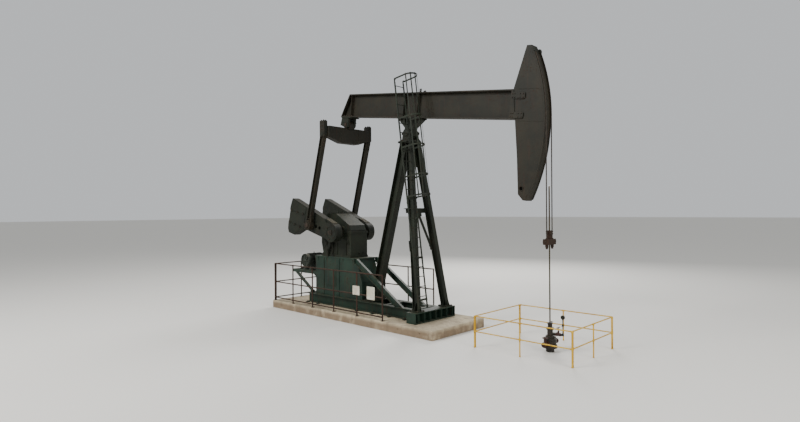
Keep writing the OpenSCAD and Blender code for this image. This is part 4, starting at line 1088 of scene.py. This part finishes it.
# Gate valves on the side outlets, and a plug valve with a T handle on the flow tee
valve_paint = weathered_paint("red_valve_enamel", "#2b130d", "#381a12", "#23150f", "#453828", 0.8, 0.55)
outlet_z = 0.23
tee_z = 0.49
wheel_hub = start_round(0.02, 0.026, 24, (0, 0, -0.008))
wheel_spoke = start_block((0.012, -0.006, -0.001), (0.07, 0.006, 0.009))
wheel_parts = [start_ring(0.072, 0.0085, (40, 10), (0, 0, 0.006)), soften(wheel_hub, 0.003, 2)]
wheel = joined(wheel_parts + ring_of(soften(wheel_spoke, 0.003, 2), 5), "wheel_model")
valve_parts = copies(wheel, [Matrix.Translation((rod_x, y, 0.396)) for y in (-0.27, 0.27)])
valve_spots = []
for side in both:
    out = (0, side, 0)
    y = side * 0.27
    face = standing((rod_x, side * 0.1905, outlet_z), out)
    blank = soften(stepped(start_round(0.07, 0.018, 40), (0.5, 0.006)), 0.003, 2)
    yoke = start_round(0.026, 0.085, 24, (rod_x, y, 0.285))
    valve_parts += [
        placed(soften(start_round(0.085, 0.02, 40), 0.003, 2), face),
        placed(bevelled(start_round(0.055, 0.15, 32), 0.018, 4), face),
        placed(blank, standing((rod_x, side * 0.338, outlet_z), out)),
        start_round(0.04, 0.012, 32, (rod_x, y, 0.282)),
        drawn_in(yoke, top, (0.62, 0.62, 1), (rod_x, y, 0.37)),
        bar((rod_x, y, 0.36), (rod_x, y, 0.418), 0.009, 16)]
    valve_spots += bolts(circle((rod_x, side * 0.2105, outlet_z), 0.071, 6, 30), out, 10)
    valve_spots += bolts(circle((rod_x, side * 0.356, outlet_z), 0.056, 6, 30), out, 10)
valve_parts += [
    placed(soften(start_round(0.052, 0.035, 8), 0.004, 2), standing((5.205, 0, tee_z), forward)),
    placed(bevelled(start_round(0.044, 0.14, 32), 0.012, 3), standing((5.2005, 0, tee_z), forward)),
    soften(start_round(0.026, 0.07, 24, (5.27, 0, 0.515)), 0.004, 2),
    bar((5.338, 0, tee_z), (5.356, 0, tee_z), 0.03, 8),
    bar((5.27, 0, 0.57), (5.27, 0, 0.672), 0.012, 16),
    bevelled(bar((5.27, -0.09, 0.67), (5.27, 0.09, 0.67), 0.012, 16), 0.005, 3)]
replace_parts(finish(valve_parts, "well_valves", valve_paint), "flow_valves")
bolt_set(valve_spots, "valve_bolts")

# A riser at the end of the flow tee holds a pressure gauge, its bare dial turned to the near side
riser_x = 5.398
gauge_case = start_round(0.055, 0.04, 40)
pick(gauge_case, top)
bpy.ops.mesh.inset(thickness=0.006, depth=0)
extrude((0, 0, -0.006))
object_mode()
riser_parts = [
    collar((5.372, 0, tee_z), forward, 0.030, 0.05),
    collar((riser_x, 0, 0.50), up, 0.029, 0.07),
    bar((riser_x, 0, 0.52), (riser_x, 0, 0.90), 0.0135),
    collar((riser_x, 0, 0.74), up, 0.024, 0.05),
    clipped_plate((5.392, -0.085, 0.735), (5.404, 0.01, 0.745), 2, 0.004),
    start_round(0.022, 0.03, 6, (riser_x, 0, 0.885)),
    placed(soften(gauge_case, 0.0015), standing((riser_x, 0.02, 0.955), near_way)),
    bar((riser_x, -0.008, 0.955), (riser_x, -0.028, 0.955), 0.010, 16)]
finish(riser_parts, "pressure_gauge", cast_paint)


# Walking beam: a deep welded I beam. Small lugs stand on its top flange beside the post,
# weld beads run along its stiffeners, and the bearings are bolted through its lower flange.
# Its olive tint is painted warm sky light: the beam, head, equalizer and pitmans share the dark green paint
# of the rest, shifted towards olive as if lit by a low sky.
sky_tinted_paint = weathered_paint("sky_tinted_green_enamel", "#181810", "#232015", "#2f1e14", "#40392a", 0.5, 0.62)
dress(sky_tinted_paint, "walking_beam", "horsehead", "equalizer", "near_pitman", "far_pitman")
beam_tilt = 7.8
on_beam = Matrix.Translation((0, 0, pivot_z)) @ Matrix.Rotation(math.radians(beam_tilt), 4, "Y")
beam_parts = []
for side in both:
    for x in (-3.0, -0.32, 0.30):
        for at in (x, x + 0.02):
            beam_parts.append(weld((at, side * 0.015, 0.55), (at, side * 0.015, 1.30), 0.007))
        for z in (0.55, 1.30):
            beam_parts.append(weld((x + 0.01, side * 0.02, z), (x + 0.01, side * 0.146, z), 0.009))
    for z in (0.551, 1.299):
        beam_parts.append(weld((-3.30, side * 0.013, z), (3.82, side * 0.013, z), 0.008))
beam_parts.append(clipped_plate((0.445, -0.05, 1.3395), (0.495, 0.05, 1.392), 1, 0.012))
eye_plate = start_block((0.235, -0.012, 1.3395), (0.305, 0.012, 1.475))
soften(drawn_in(eye_plate, top, (1.25, 1, 1), (0.27, 0, 1.475)), 0.004, 2)
cut_out(eye_plate, bar((0.27, 0.03, 1.435), (0.27, -0.03, 1.435), 0.020, 24))
beam_parts.append(eye_plate)
finish(beam_parts, "beam_welds_and_lugs", sky_tinted_paint, "beam", place=on_beam)

flange_x = (-3.35, -3.23, -3.06, -2.93, -0.45, -0.38, -0.22, -0.12, 0.12, 0.22, 0.38, 0.45)
beam_spots = bolts(product(flange_x, (-0.132, 0.132), (0.548,)), up, 24)
beam_spots += bolts(product((-0.45, -0.38, 0.38, 0.45), (-0.150, 0.150), (0.4800,)), down, 24)
beam_spots += bolts(product((3.8455,), (-0.09, 0.09), (0.62, 0.74, 0.86, 0.98, 1.10, 1.22)), back, 24)
beam_spots.append(bolt_at((0.47, 0.0, 1.3915), up, 22))
bolt_set(beam_spots, "beam_bolts", "beam", on_beam)

# Saddle ribs: webs on the chair below the beam, and adjusting screws at its ends
saddle_parts = []
for side, x in product(both, (-0.34, -0.17, 0.0, 0.17, 0.34)):
    low_z = 0.20 + 0.72 * max(0.0, abs(x) - 0.12)
    rib = start_block((x - 0.008, side * 0.117, low_z), (x + 0.008, side * 0.18, 0.4805))
    saddle_parts.append(drawn_in(rib, under, (1, 0.12, 1), (x, side * 0.117, low_z)))
for way, y in product(both, (-0.06, 0.06)):
    saddle_parts.append(clipped_plate((way * 0.502, y - 0.03, 0.455), (way * 0.55, y + 0.03, 0.508), 0, 0.01))
    saddle_parts += copies(bolt, [bolt_at((way * 0.55, y, 0.482), (way, 0, 0), 22)], True)
finish(saddle_parts, "saddle_ribs", cast_paint, "beam", place=on_beam)

# Tail bearing: machined bosses round the pin on both lugs, with keeper plates on its ends
tail_parts = []
tail_spots = []
keepers = []
for side in both:
    out = (0, side, 0)
    tail_parts += [
        placed(start_tube(0.118, 0.012, 0.045, 48), standing((-3.15, side * 0.1955, 0.22), out)),
        start_block((-3.36, side * 0.192, 0.30), (-2.99, side * 0.204, 0.318)),
        bar((-3.03, side * 0.15, 0.22), (-3.01, side * 0.15, 0.22), 0.014)]
    tail_spots += bolts(circle((-3.15, side * 0.207, 0.22), 0.097, 8), out, 10)
    keeper = soften(start_round(0.052, 0.012, 32), 0.002)
    keepers.append(placed(keeper, standing((-3.091, side * 0.2145, 7.0155), out)))
    keepers += copies(bolt, bolts(product((-3.117, -3.065), (side * 0.2265,), (7.0155,)), out, 12), True)
finish(tail_parts, "tail_bearing_bosses", cast_paint, "beam", place=on_beam)
bolt_set(tail_spots, "tail_bearing_bolts", "beam", on_beam)
finish(keepers, "tail_pin_keepers", bolt_steel, "linkage")


# Horsehead: a box of plates with a thick curved face that the ropes lie on.
# Seams cross its sides where the plates were joined, and a ring stiffens the hole in its chin.
def head_point(angle, radius, y):
    """A point of the beam's axes at an angle above forward and a distance from the bearing."""
    return Vector((radius * math.cos(math.radians(angle)), y, radius * math.sin(math.radians(angle))))


head_parts = []
head_spots = []
for side in both:
    y = side * 0.1405
    for k in range(24):
        angle = 28.5 - 2.0 * k
        head_parts.append(weld(head_point(angle, 4.974, y), head_point(angle - 2.0, 4.974, y), 0.009))
    head_parts += [
        weld((4.08, y, 0.46), (4.965, y, 0.46), 0.006),
        weld((4.03, y, 1.34), (4.80, y, 1.34), 0.006),
        placed(start_tube(0.078, 0.012, 0.022, 40), standing((4.4882, side * 0.1395, -1.389), (0, side, 0)))]
    for z in (0.62, 1.16):
        cheek = clipped_plate((3.86, side * 0.1595, z - 0.09), (4.30, side * 0.172, z + 0.09), 1, 0.03)
        packing = clipped_plate((4.07, side * 0.139, z - 0.078), (4.288, side * 0.1598, z + 0.078), 1, 0.02)
        head_parts += [cheek, packing]
        spots = product((3.90, 3.97, 4.14, 4.24), (side * 0.172,), (z - 0.05, z + 0.05))
        head_spots += bolts(spots, (0, side, 0), 22)
finish(head_parts, "head_welds_and_cheeks", sky_tinted_paint, "beam", place=on_beam)
bolt_set(head_spots, "head_bolts", "beam", on_beam)


# Bridle: two wire ropes of six strands, 32 mm thick, laid over the head's tracks and down
# to the carrier bar. Grease and dust have turned them brown, and steel glints on the crowns.
wire_rope, shader, where = new_material("greased_wire_rope")
strands = lumps(wire_rope, where, 300, detail=3)
colour = coats(
    wire_rope, "#211b14",
    ("#342b20", (lumps(wire_rope, where, 6), 0.35, 0.7)),
    ("#5a5040", (strands, 0.6, 0.76)))
surface(wire_rope, shader, colour, 0.5, strands, 0.0015, metallic=0.6)
rope_y = 0.148
carrier_z = 2.80


def rope_length(length):
    """A straight six-strand rope up from the origin, 32 mm thick, with a lay of about 210 mm."""
    nothing_selected()
    bpy.ops.mesh.primitive_circle_add(vertices=24, radius=0.016, fill_type="NOTHING")
    rope = bpy.context.object
    for k, vertex in enumerate(rope.data.vertices):
        lobe = (1.0, 0.955, 0.86, 0.955)[k % 4]
        vertex.co.x *= lobe
        vertex.co.y *= lobe
    steps = max(8, int(length / 0.017))
    changed(rope, "SCREW", screw_offset=length, angle=2 * math.pi * length / 0.208, steps=steps,
            render_steps=steps, use_merge_vertices=False)
    bpy.ops.object.mode_set(mode="EDIT")
    bpy.ops.mesh.select_mode(type="EDGE")
    bpy.ops.mesh.select_all(action="DESELECT")
    bpy.ops.mesh.select_non_manifold()
    bpy.ops.mesh.edge_face_add()
    bpy.ops.mesh.select_all(action="SELECT")
    bpy.ops.mesh.normals_make_consistent(inside=False)
    object_mode()
    return rope


anchor_angle = 27.5
wrap = math.radians(anchor_angle - beam_tilt)
for y, which in ((-rope_y, "near"), (rope_y, "far")):
    hanging = placed(rope_length(pivot_z - carrier_z), Matrix.Translation((rod_x, y, carrier_z)))
    hanging = finish([hanging], which + "_hanging_rope", wire_rope, None, 60)
    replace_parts(hanging, "lower_bridle")
    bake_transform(hanging)
    wrapped = rope_length(rod_x * wrap)
    for vertex in wrapped.data.vertices:
        angle = vertex.co.z / rod_x
        reach = rod_x + vertex.co.x
        vertex.co = (reach * math.cos(angle), y + vertex.co.y, pivot_z + reach * math.sin(angle))
    wrapped = finish([wrapped], which + "_wrapped_rope", wire_rope, None, 60)
    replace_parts(wrapped, "upper_bridle")
    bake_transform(wrapped)

# Rope anchors at the crown of the head: poured sockets on welded blocks, with a pin through each
sockets = []
for y in (-rope_y, rope_y):
    cone = soften(drawn_in(start_round(0.024, 0.12, 32), top, (1.35, 1.35, 1), (0, 0, 0.12)), 0.003, 2)
    sockets += [
        placed(cone, Matrix.Translation((5.031, y, 0.0))),
        clipped_plate((4.985, y - 0.034, 0.035), (5.062, y - 0.020, 0.13), 1, 0.014),
        clipped_plate((4.985, y + 0.020, 0.035), (5.062, y + 0.034, 0.13), 1, 0.014),
        bar((5.035, y - 0.045, 0.10), (5.035, y + 0.045, 0.10), 0.012)]
at_crown = on_beam @ Matrix.Rotation(math.radians(-anchor_angle), 4, "Y")
crown = finish(sockets, "rope_sockets", cast_paint, "beam", place=at_crown)
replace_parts(crown, "upper_bridle")


# Carrier bar: a forged yoke across the two ropes, with the polished rod held by a clamp above it.
# Rust has taken all of its paint; the rod is ground steel under a film of oil.
rusty_forging = weathered_paint("rusty_forging", "#20160f", "#2c1e14", "#3d2517", "#43362a", 0.9, 0.8)
dress(rusty_forging, "carrier_bar")
clamp_parts = []
clamp_spots = bolts(product((5.092,), (-0.048, 0.048), (3.152, 3.21)), forward, 16)
clamp_spots += bolts(product((4.968,), (-0.048, 0.048), (3.152, 3.21)), back, 16)
for side in both:
    half = start_block((rod_x + side * 0.003, -0.075, 3.122), (rod_x + side * 0.062, 0.075, 3.24))
    ferrule = start_round(0.034, 0.05, 24, (rod_x, side * rope_y, 2.742))
    clamp_parts += [
        soften(half, 0.008, 2),
        drawn_in(ferrule, under, (0.75, 0.75, 1), (rod_x, side * rope_y, 2.742)),
        collar((rod_x, side * rope_y, 3.022), up, 0.034, 0.024),
        clipped_plate((4.95, side * 0.19, 2.90), (5.11, side * 0.222, 2.97), 0, 0.012)]
    clamp_spots.append(bolt_at((rod_x, side * 0.222, 2.935), (0, side, 0), 20))
finish(clamp_parts, "rod_clamp", rusty_forging, "rod")
bolt_set(clamp_spots, "rod_clamp_bolts", "rod")

oiled_steel, shader, where = new_material("oiled_ground_steel")
film = spread(oiled_steel, (lumps(oiled_steel, where, 3, stretch=(6, 6, 0.4)), 0.35, 0.7))
scuffed = add_node(oiled_steel, "MapRange", {"Value": film, "To Min": 0.28, "To Max": 0.5})[0]
grinding = lumps(oiled_steel, where, 220, stretch=(1, 1, 0.1))
colour = coats(oiled_steel, "#4a4132", ("#332b1f", film))
surface(oiled_steel, shader, colour, scuffed, grinding, 0.0003, metallic=0.85)
dress(oiled_steel, "crank_pins", "crankshaft")
rod = start_round(0.019, 4.01, 32, (rod_x, 0, 0.42))
cut_up(rod, 2, 0.52, 4.40, 0.1)
rod = finish([bevelled(rod, 0.004, 2, top)], "ground_rod", oiled_steel, None)
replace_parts(rod, "polished_rod")
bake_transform(rod)


# Equalizer: a deep plate box under the tail bearing, with a block on each end for a pitman.
# Bolts go down through each block, and a cap closes the pin that the pitman hangs from.
end_x, end_y, end_z = -3.281, 1.085, 6.5975
equalizer_parts = []
equalizer_spots = []
for side in both:
    out = (0, side, 0)
    y = side * end_y
    equalizer_spots += bolts(product((-3.350, -3.212), (y - 0.045, y + 0.045), (7.0775,)), up, 28)
    equalizer_spots += bolts(product((-3.350, -3.212), (y - 0.045, y + 0.045), (6.5055,)), down, 18)
    equalizer_spots += bolts(product((-3.336, -3.226), (side * 1.1605,), (6.76, 6.88, 7.00)), out, 20)
    equalizer_spots += bolts(circle((end_x, side * 1.1718, end_z), 0.076, 6), out, 8)
    cap = soften(stepped(start_round(0.085, 0.012, 40), (0.8, 0.006)), 0.002)
    equalizer_parts.append(placed(cap, standing((end_x, side * 1.1600, end_z), out)))
    equalizer_parts.append(clipped_plate((-3.405, y - 0.074, 7.064), (-3.157, y + 0.074, 7.078), 2, 0.016))
    for way in both:
        x = end_x + way * 0.134
        strap = start_block((x - 0.006, y - 0.05, 6.56), (x + 0.006, y + 0.05, 7.03))
        equalizer_parts.append(soften(strap, 0.003))
        spots = product((end_x + way * 0.134 * 1.043,), (y,), (6.60, 6.70, 6.89, 6.99))
        equalizer_spots += bolts(spots, (way, 0, 0), 18)
finish(equalizer_parts, "equalizer_end_caps", cast_paint, "linkage")
bolt_set(equalizer_spots, "equalizer_bolts", "linkage")
seams = []
for x in (-3.322, -3.060):
    for side in both:
        seams += [
            weld((x, side * 0.42, 6.32), (x, side * 0.42, 6.875), 0.007),
            weld((x, side * 0.42, 6.325), (x, side * 0.995, 6.505), 0.007),
            weld((x, side * 0.15, 6.881), (x, side * 0.995, 6.881), 0.007),
            weld((x, side * 1.0095, 6.51), (x, side * 1.0095, 6.88), 0.008)]
    seams.append(weld((x, -0.42, 6.3185), (x, 0.42, 6.3185), 0.007))
finish(seams, "equalizer_welds", sky_tinted_paint, "linkage")


# Pitmans: two long I beams that hang from the equalizer down to the crank pins.
# Each has bolted splice plates at its top, and gussets and a sealed bearing at its foot.
pin_x, pin_z = -4.1872, 3.2891
pitman_lean = Matrix.Rotation(math.atan2(0.9062, 3.2564), 4, "Y")
pitman_parts = []
pitman_spots = []
pin_parts = []
for side in both:
    out = (0, side, 0)
    plates = []
    for way in both:
        plates.append(clipped_plate((way * 0.0995, -0.066, 3.00), (way * 0.112, 0.066, 3.315), 0, 0.012))
        for y in (-0.055, 0.055):
            first, last = (way * 0.0995, y - 0.007, 0.10), (way * 0.178, y + 0.007, 0.46)
            plates.append(tapered_plate(first, last, 0, way * 0.0995, 0.08))
            web_y = way * y * 0.12
            plates.append(weld((way * 0.088, web_y, 0.20), (way * 0.088, web_y, 3.29)))
        for z in (0.24, 2.96):
            plates.append(start_block((-0.086, way * 0.006, z), (0.086, way * 0.070, z + 0.012)))
    up_pitman = Matrix.Translation((pin_x, side * end_y, pin_z)) @ pitman_lean
    pitman_parts += [placed(plate, up_pitman) for plate in plates]
    for way in both:
        spots = product((way * 0.112,), (-0.042, 0.042), (3.04, 3.13, 3.26))
        pitman_spots += [up_pitman @ spot for spot in bolts(spots, (way, 0, 0), 20)]
    outer_ring, inner_ring = start_tube(0.178, 0.012, 0.062, 56), start_tube(0.178, 0.004, 0.062, 56)
    pitman_parts.append(placed(outer_ring, standing((pin_x, side * 1.1798, pin_z), out)))
    pitman_parts.append(placed(inner_ring, standing((pin_x, side * 0.9902, pin_z), (0, -side, 0))))
    pitman_spots += bolts(circle((pin_x, side * 1.1915, pin_z), 0.150, 10), out, 16)
    nut = bevelled(start_round(0.104, 0.036, 6), 0.005, 2, top)
    pick(nut, top)
    bpy.ops.mesh.inset(thickness=0.024, depth=0)
    extrude((0, 0, -0.008))
    object_mode()
    pin_parts.append(placed(nut, standing((pin_x, side * 1.1900, pin_z), out)))
    y = side * 1.2115
    pin_parts.append(bar((pin_x - 0.10, y, pin_z), (pin_x + 0.10, y, pin_z), 0.005, 12))
nipples = [standing((pin_x, side * end_y, pin_z - 0.19), down) for side in both]
finish(pitman_parts, "pitman_plates_and_welds", sky_tinted_paint, "linkage")
bolt_set(pitman_spots, "pitman_bolts", "linkage")
finish(pin_parts + copies(grease, nipples), "crank_pin_nuts", bolt_steel, "linkage")


# Cranks: two heavy cast arms keyed on the ends of the shaft, with a row of pin holes in each.
# A short rack on the upper edge is for the bar that moves the weights, which keeps its teeth pale.
rise = math.radians(13.9)
on_crank = Matrix((
    (-math.cos(rise), math.sin(rise), 0, -3.1),
    (0, 0, 1, 0),
    (math.sin(rise), math.cos(rise), 0, 3.02),
    (0, 0, 0, 1)))


def crank_face(side, out):
    """Turns the crank's axes so that z points out of its outer face, or into its inner one, at the face."""
    level = side * (0.94 if out else 0.66)
    turned = Matrix.Identity(4) if (side > 0) == out else Matrix.Rotation(math.pi, 4, "X")
    return on_crank @ Matrix.Translation((0, 0, level)) @ turned


def outline_plate(points, height, rim, sunk):
    """A cast plate of an outline, with a raised rim round a sunk panel."""
    nothing_selected()
    bpy.ops.mesh.primitive_circle_add(vertices=len(points), radius=1, fill_type="NGON")
    plate = bpy.context.object
    for vertex, point in zip(plate.data.vertices, points):
        vertex.co = (point[0], point[1], 0)
    bpy.ops.object.mode_set(mode="EDIT")
    bpy.ops.mesh.select_all(action="SELECT")
    extrude((0, 0, height))
    bpy.ops.mesh.inset(thickness=rim, depth=0)
    bpy.ops.mesh.inset(thickness=sunk, depth=-sunk)
    bpy.ops.mesh.select_all(action="SELECT")
    bpy.ops.mesh.normals_make_consistent(inside=False)
    object_mode()
    return soften(plate, 0.0025, 2)


upper_outline = (
    (1.62, 0.275), (1.62, 0.535), (2.455, 0.655), (2.560, 0.655), (2.612, 0.44), (2.628, 0.30), (2.62, 0.245))
lower_outline = ((1.74, -0.272), (2.145, -0.635), (2.505, -0.635), (2.588, -0.515), (2.62, -0.245))
arm_outline = ((1.62, -0.235), (1.62, 0.235), (2.585, 0.212), (2.585, -0.212))
web_outline = ((-0.03, 0.30), (-0.03, 0.338), (0.37, 0.402), (0.41, 0.402), (0.40, 0.27), (0.25, 0.20))
clamp_points = ((1.76, 0.262), (2.14, 0.252), (2.50, 0.243), (1.86, -0.262), (2.20, -0.250), (2.52, -0.242))
crank_parts = []
weight_parts = []
crank_spots = []
shaft_parts = []
teeth = []
for side, out in product(both, (True, False)):
    face = crank_face(side, out)
    sunk_face = face @ Matrix.Translation((0, 0, -0.0005))
    flip = 1 if (side > 0) == out else -1
    plates = ((upper_outline, weight_parts), (lower_outline, weight_parts), (arm_outline, crank_parts))
    for outline, made in plates:
        plate = outline_plate([(u, v * flip) for u, v in outline], 0.011 if out else 0.006, 0.03, 0.0045)
        made.append(placed(plate, sunk_face))
    clamp_top = 0.018 if out else 0.0075
    for u, v in clamp_points:
        v = v * flip
        clamp = clipped_plate((u - 0.05, v - 0.055, -0.001), (u + 0.05, v + 0.055, clamp_top), 2, 0.012)
        weight_parts.append(placed(clamp, face))
        if out:
            spots = bolts(((u, v - 0.028, clamp_top), (u, v + 0.028, clamp_top)), up, 22)
            crank_spots += [face @ spot for spot in spots]
    if not out:
        continue
    crank_parts.append(placed(start_tube(0.285, 0.012, 0.07, 72), sunk_face))
    for x in (1.12, 0.89, 0.66):
        crank_parts.append(placed(start_tube(0.088, 0.003, 0.0175, 40, (x, 0, 0)), face))
    rack_web = outline_plate([(u, v * flip) for u, v in web_outline], 0.20, 0.02, 0.004)
    crank_parts.append(placed(rack_web, face @ Matrix.Translation((0, 0, -0.24))))
    rack_place = face @ Matrix.Rotation(flip * math.radians(9.0), 4, "Z")
    rack = start_block((0.02, 0.335 * flip, -0.25), (0.44, 0.352 * flip, -0.03))
    crank_parts.append(placed(rack, rack_place))
    for k in range(14):
        x = 0.028 + 0.030 * k
        tooth = start_block((x, 0.350 * flip, -0.25), (x + 0.016, 0.364 * flip, -0.03))
        crest = (x + 0.008, 0.364 * flip, 0)
        drawn_in(tooth, lambda centre, normal: normal.y * flip > 0.9, (0.6, 1, 1), crest)
        teeth.append(placed(tooth, rack_place))
    key = soften(start_block((0.075, -0.024, 0.0), (0.148, 0.024, 0.0125)), 0.002)
    cap = stepped(start_round(0.088, 0.014, 48, (0, 0, 0.0115)), (0.75, 0.005))
    shaft_parts += [placed(key, face), placed(soften(cap, 0.002), face)]
    spots = bolts(circle((0, 0, 0.0115), 0.25, 6, 30, flat=True), up, 26)
    spots += bolts(circle((0, 0, 0.0305), 0.045, 3, 90, flat=True), up, 20)
    crank_spots += [face @ spot for spot in spots]
bar_worn_iron = weathered_paint("bar_worn_iron", "#4d4a40", "#625e51", "#4a2f1f", "#736b57", 0.4, 0.5)
finish(crank_parts, "crank_rims_and_racks", cast_paint, "crank")
finish(teeth, "rack_teeth", bar_worn_iron, "crank")
finish(weight_parts, "counterweight_rims", cast_paint, "crank")
finish(shaft_parts, "shaft_end_caps", bolt_steel, "crank")
bolt_set(crank_spots, "crank_bolts", "crank")

# The bolt model has been copied everywhere and goes
bpy.data.objects.remove(bolt)
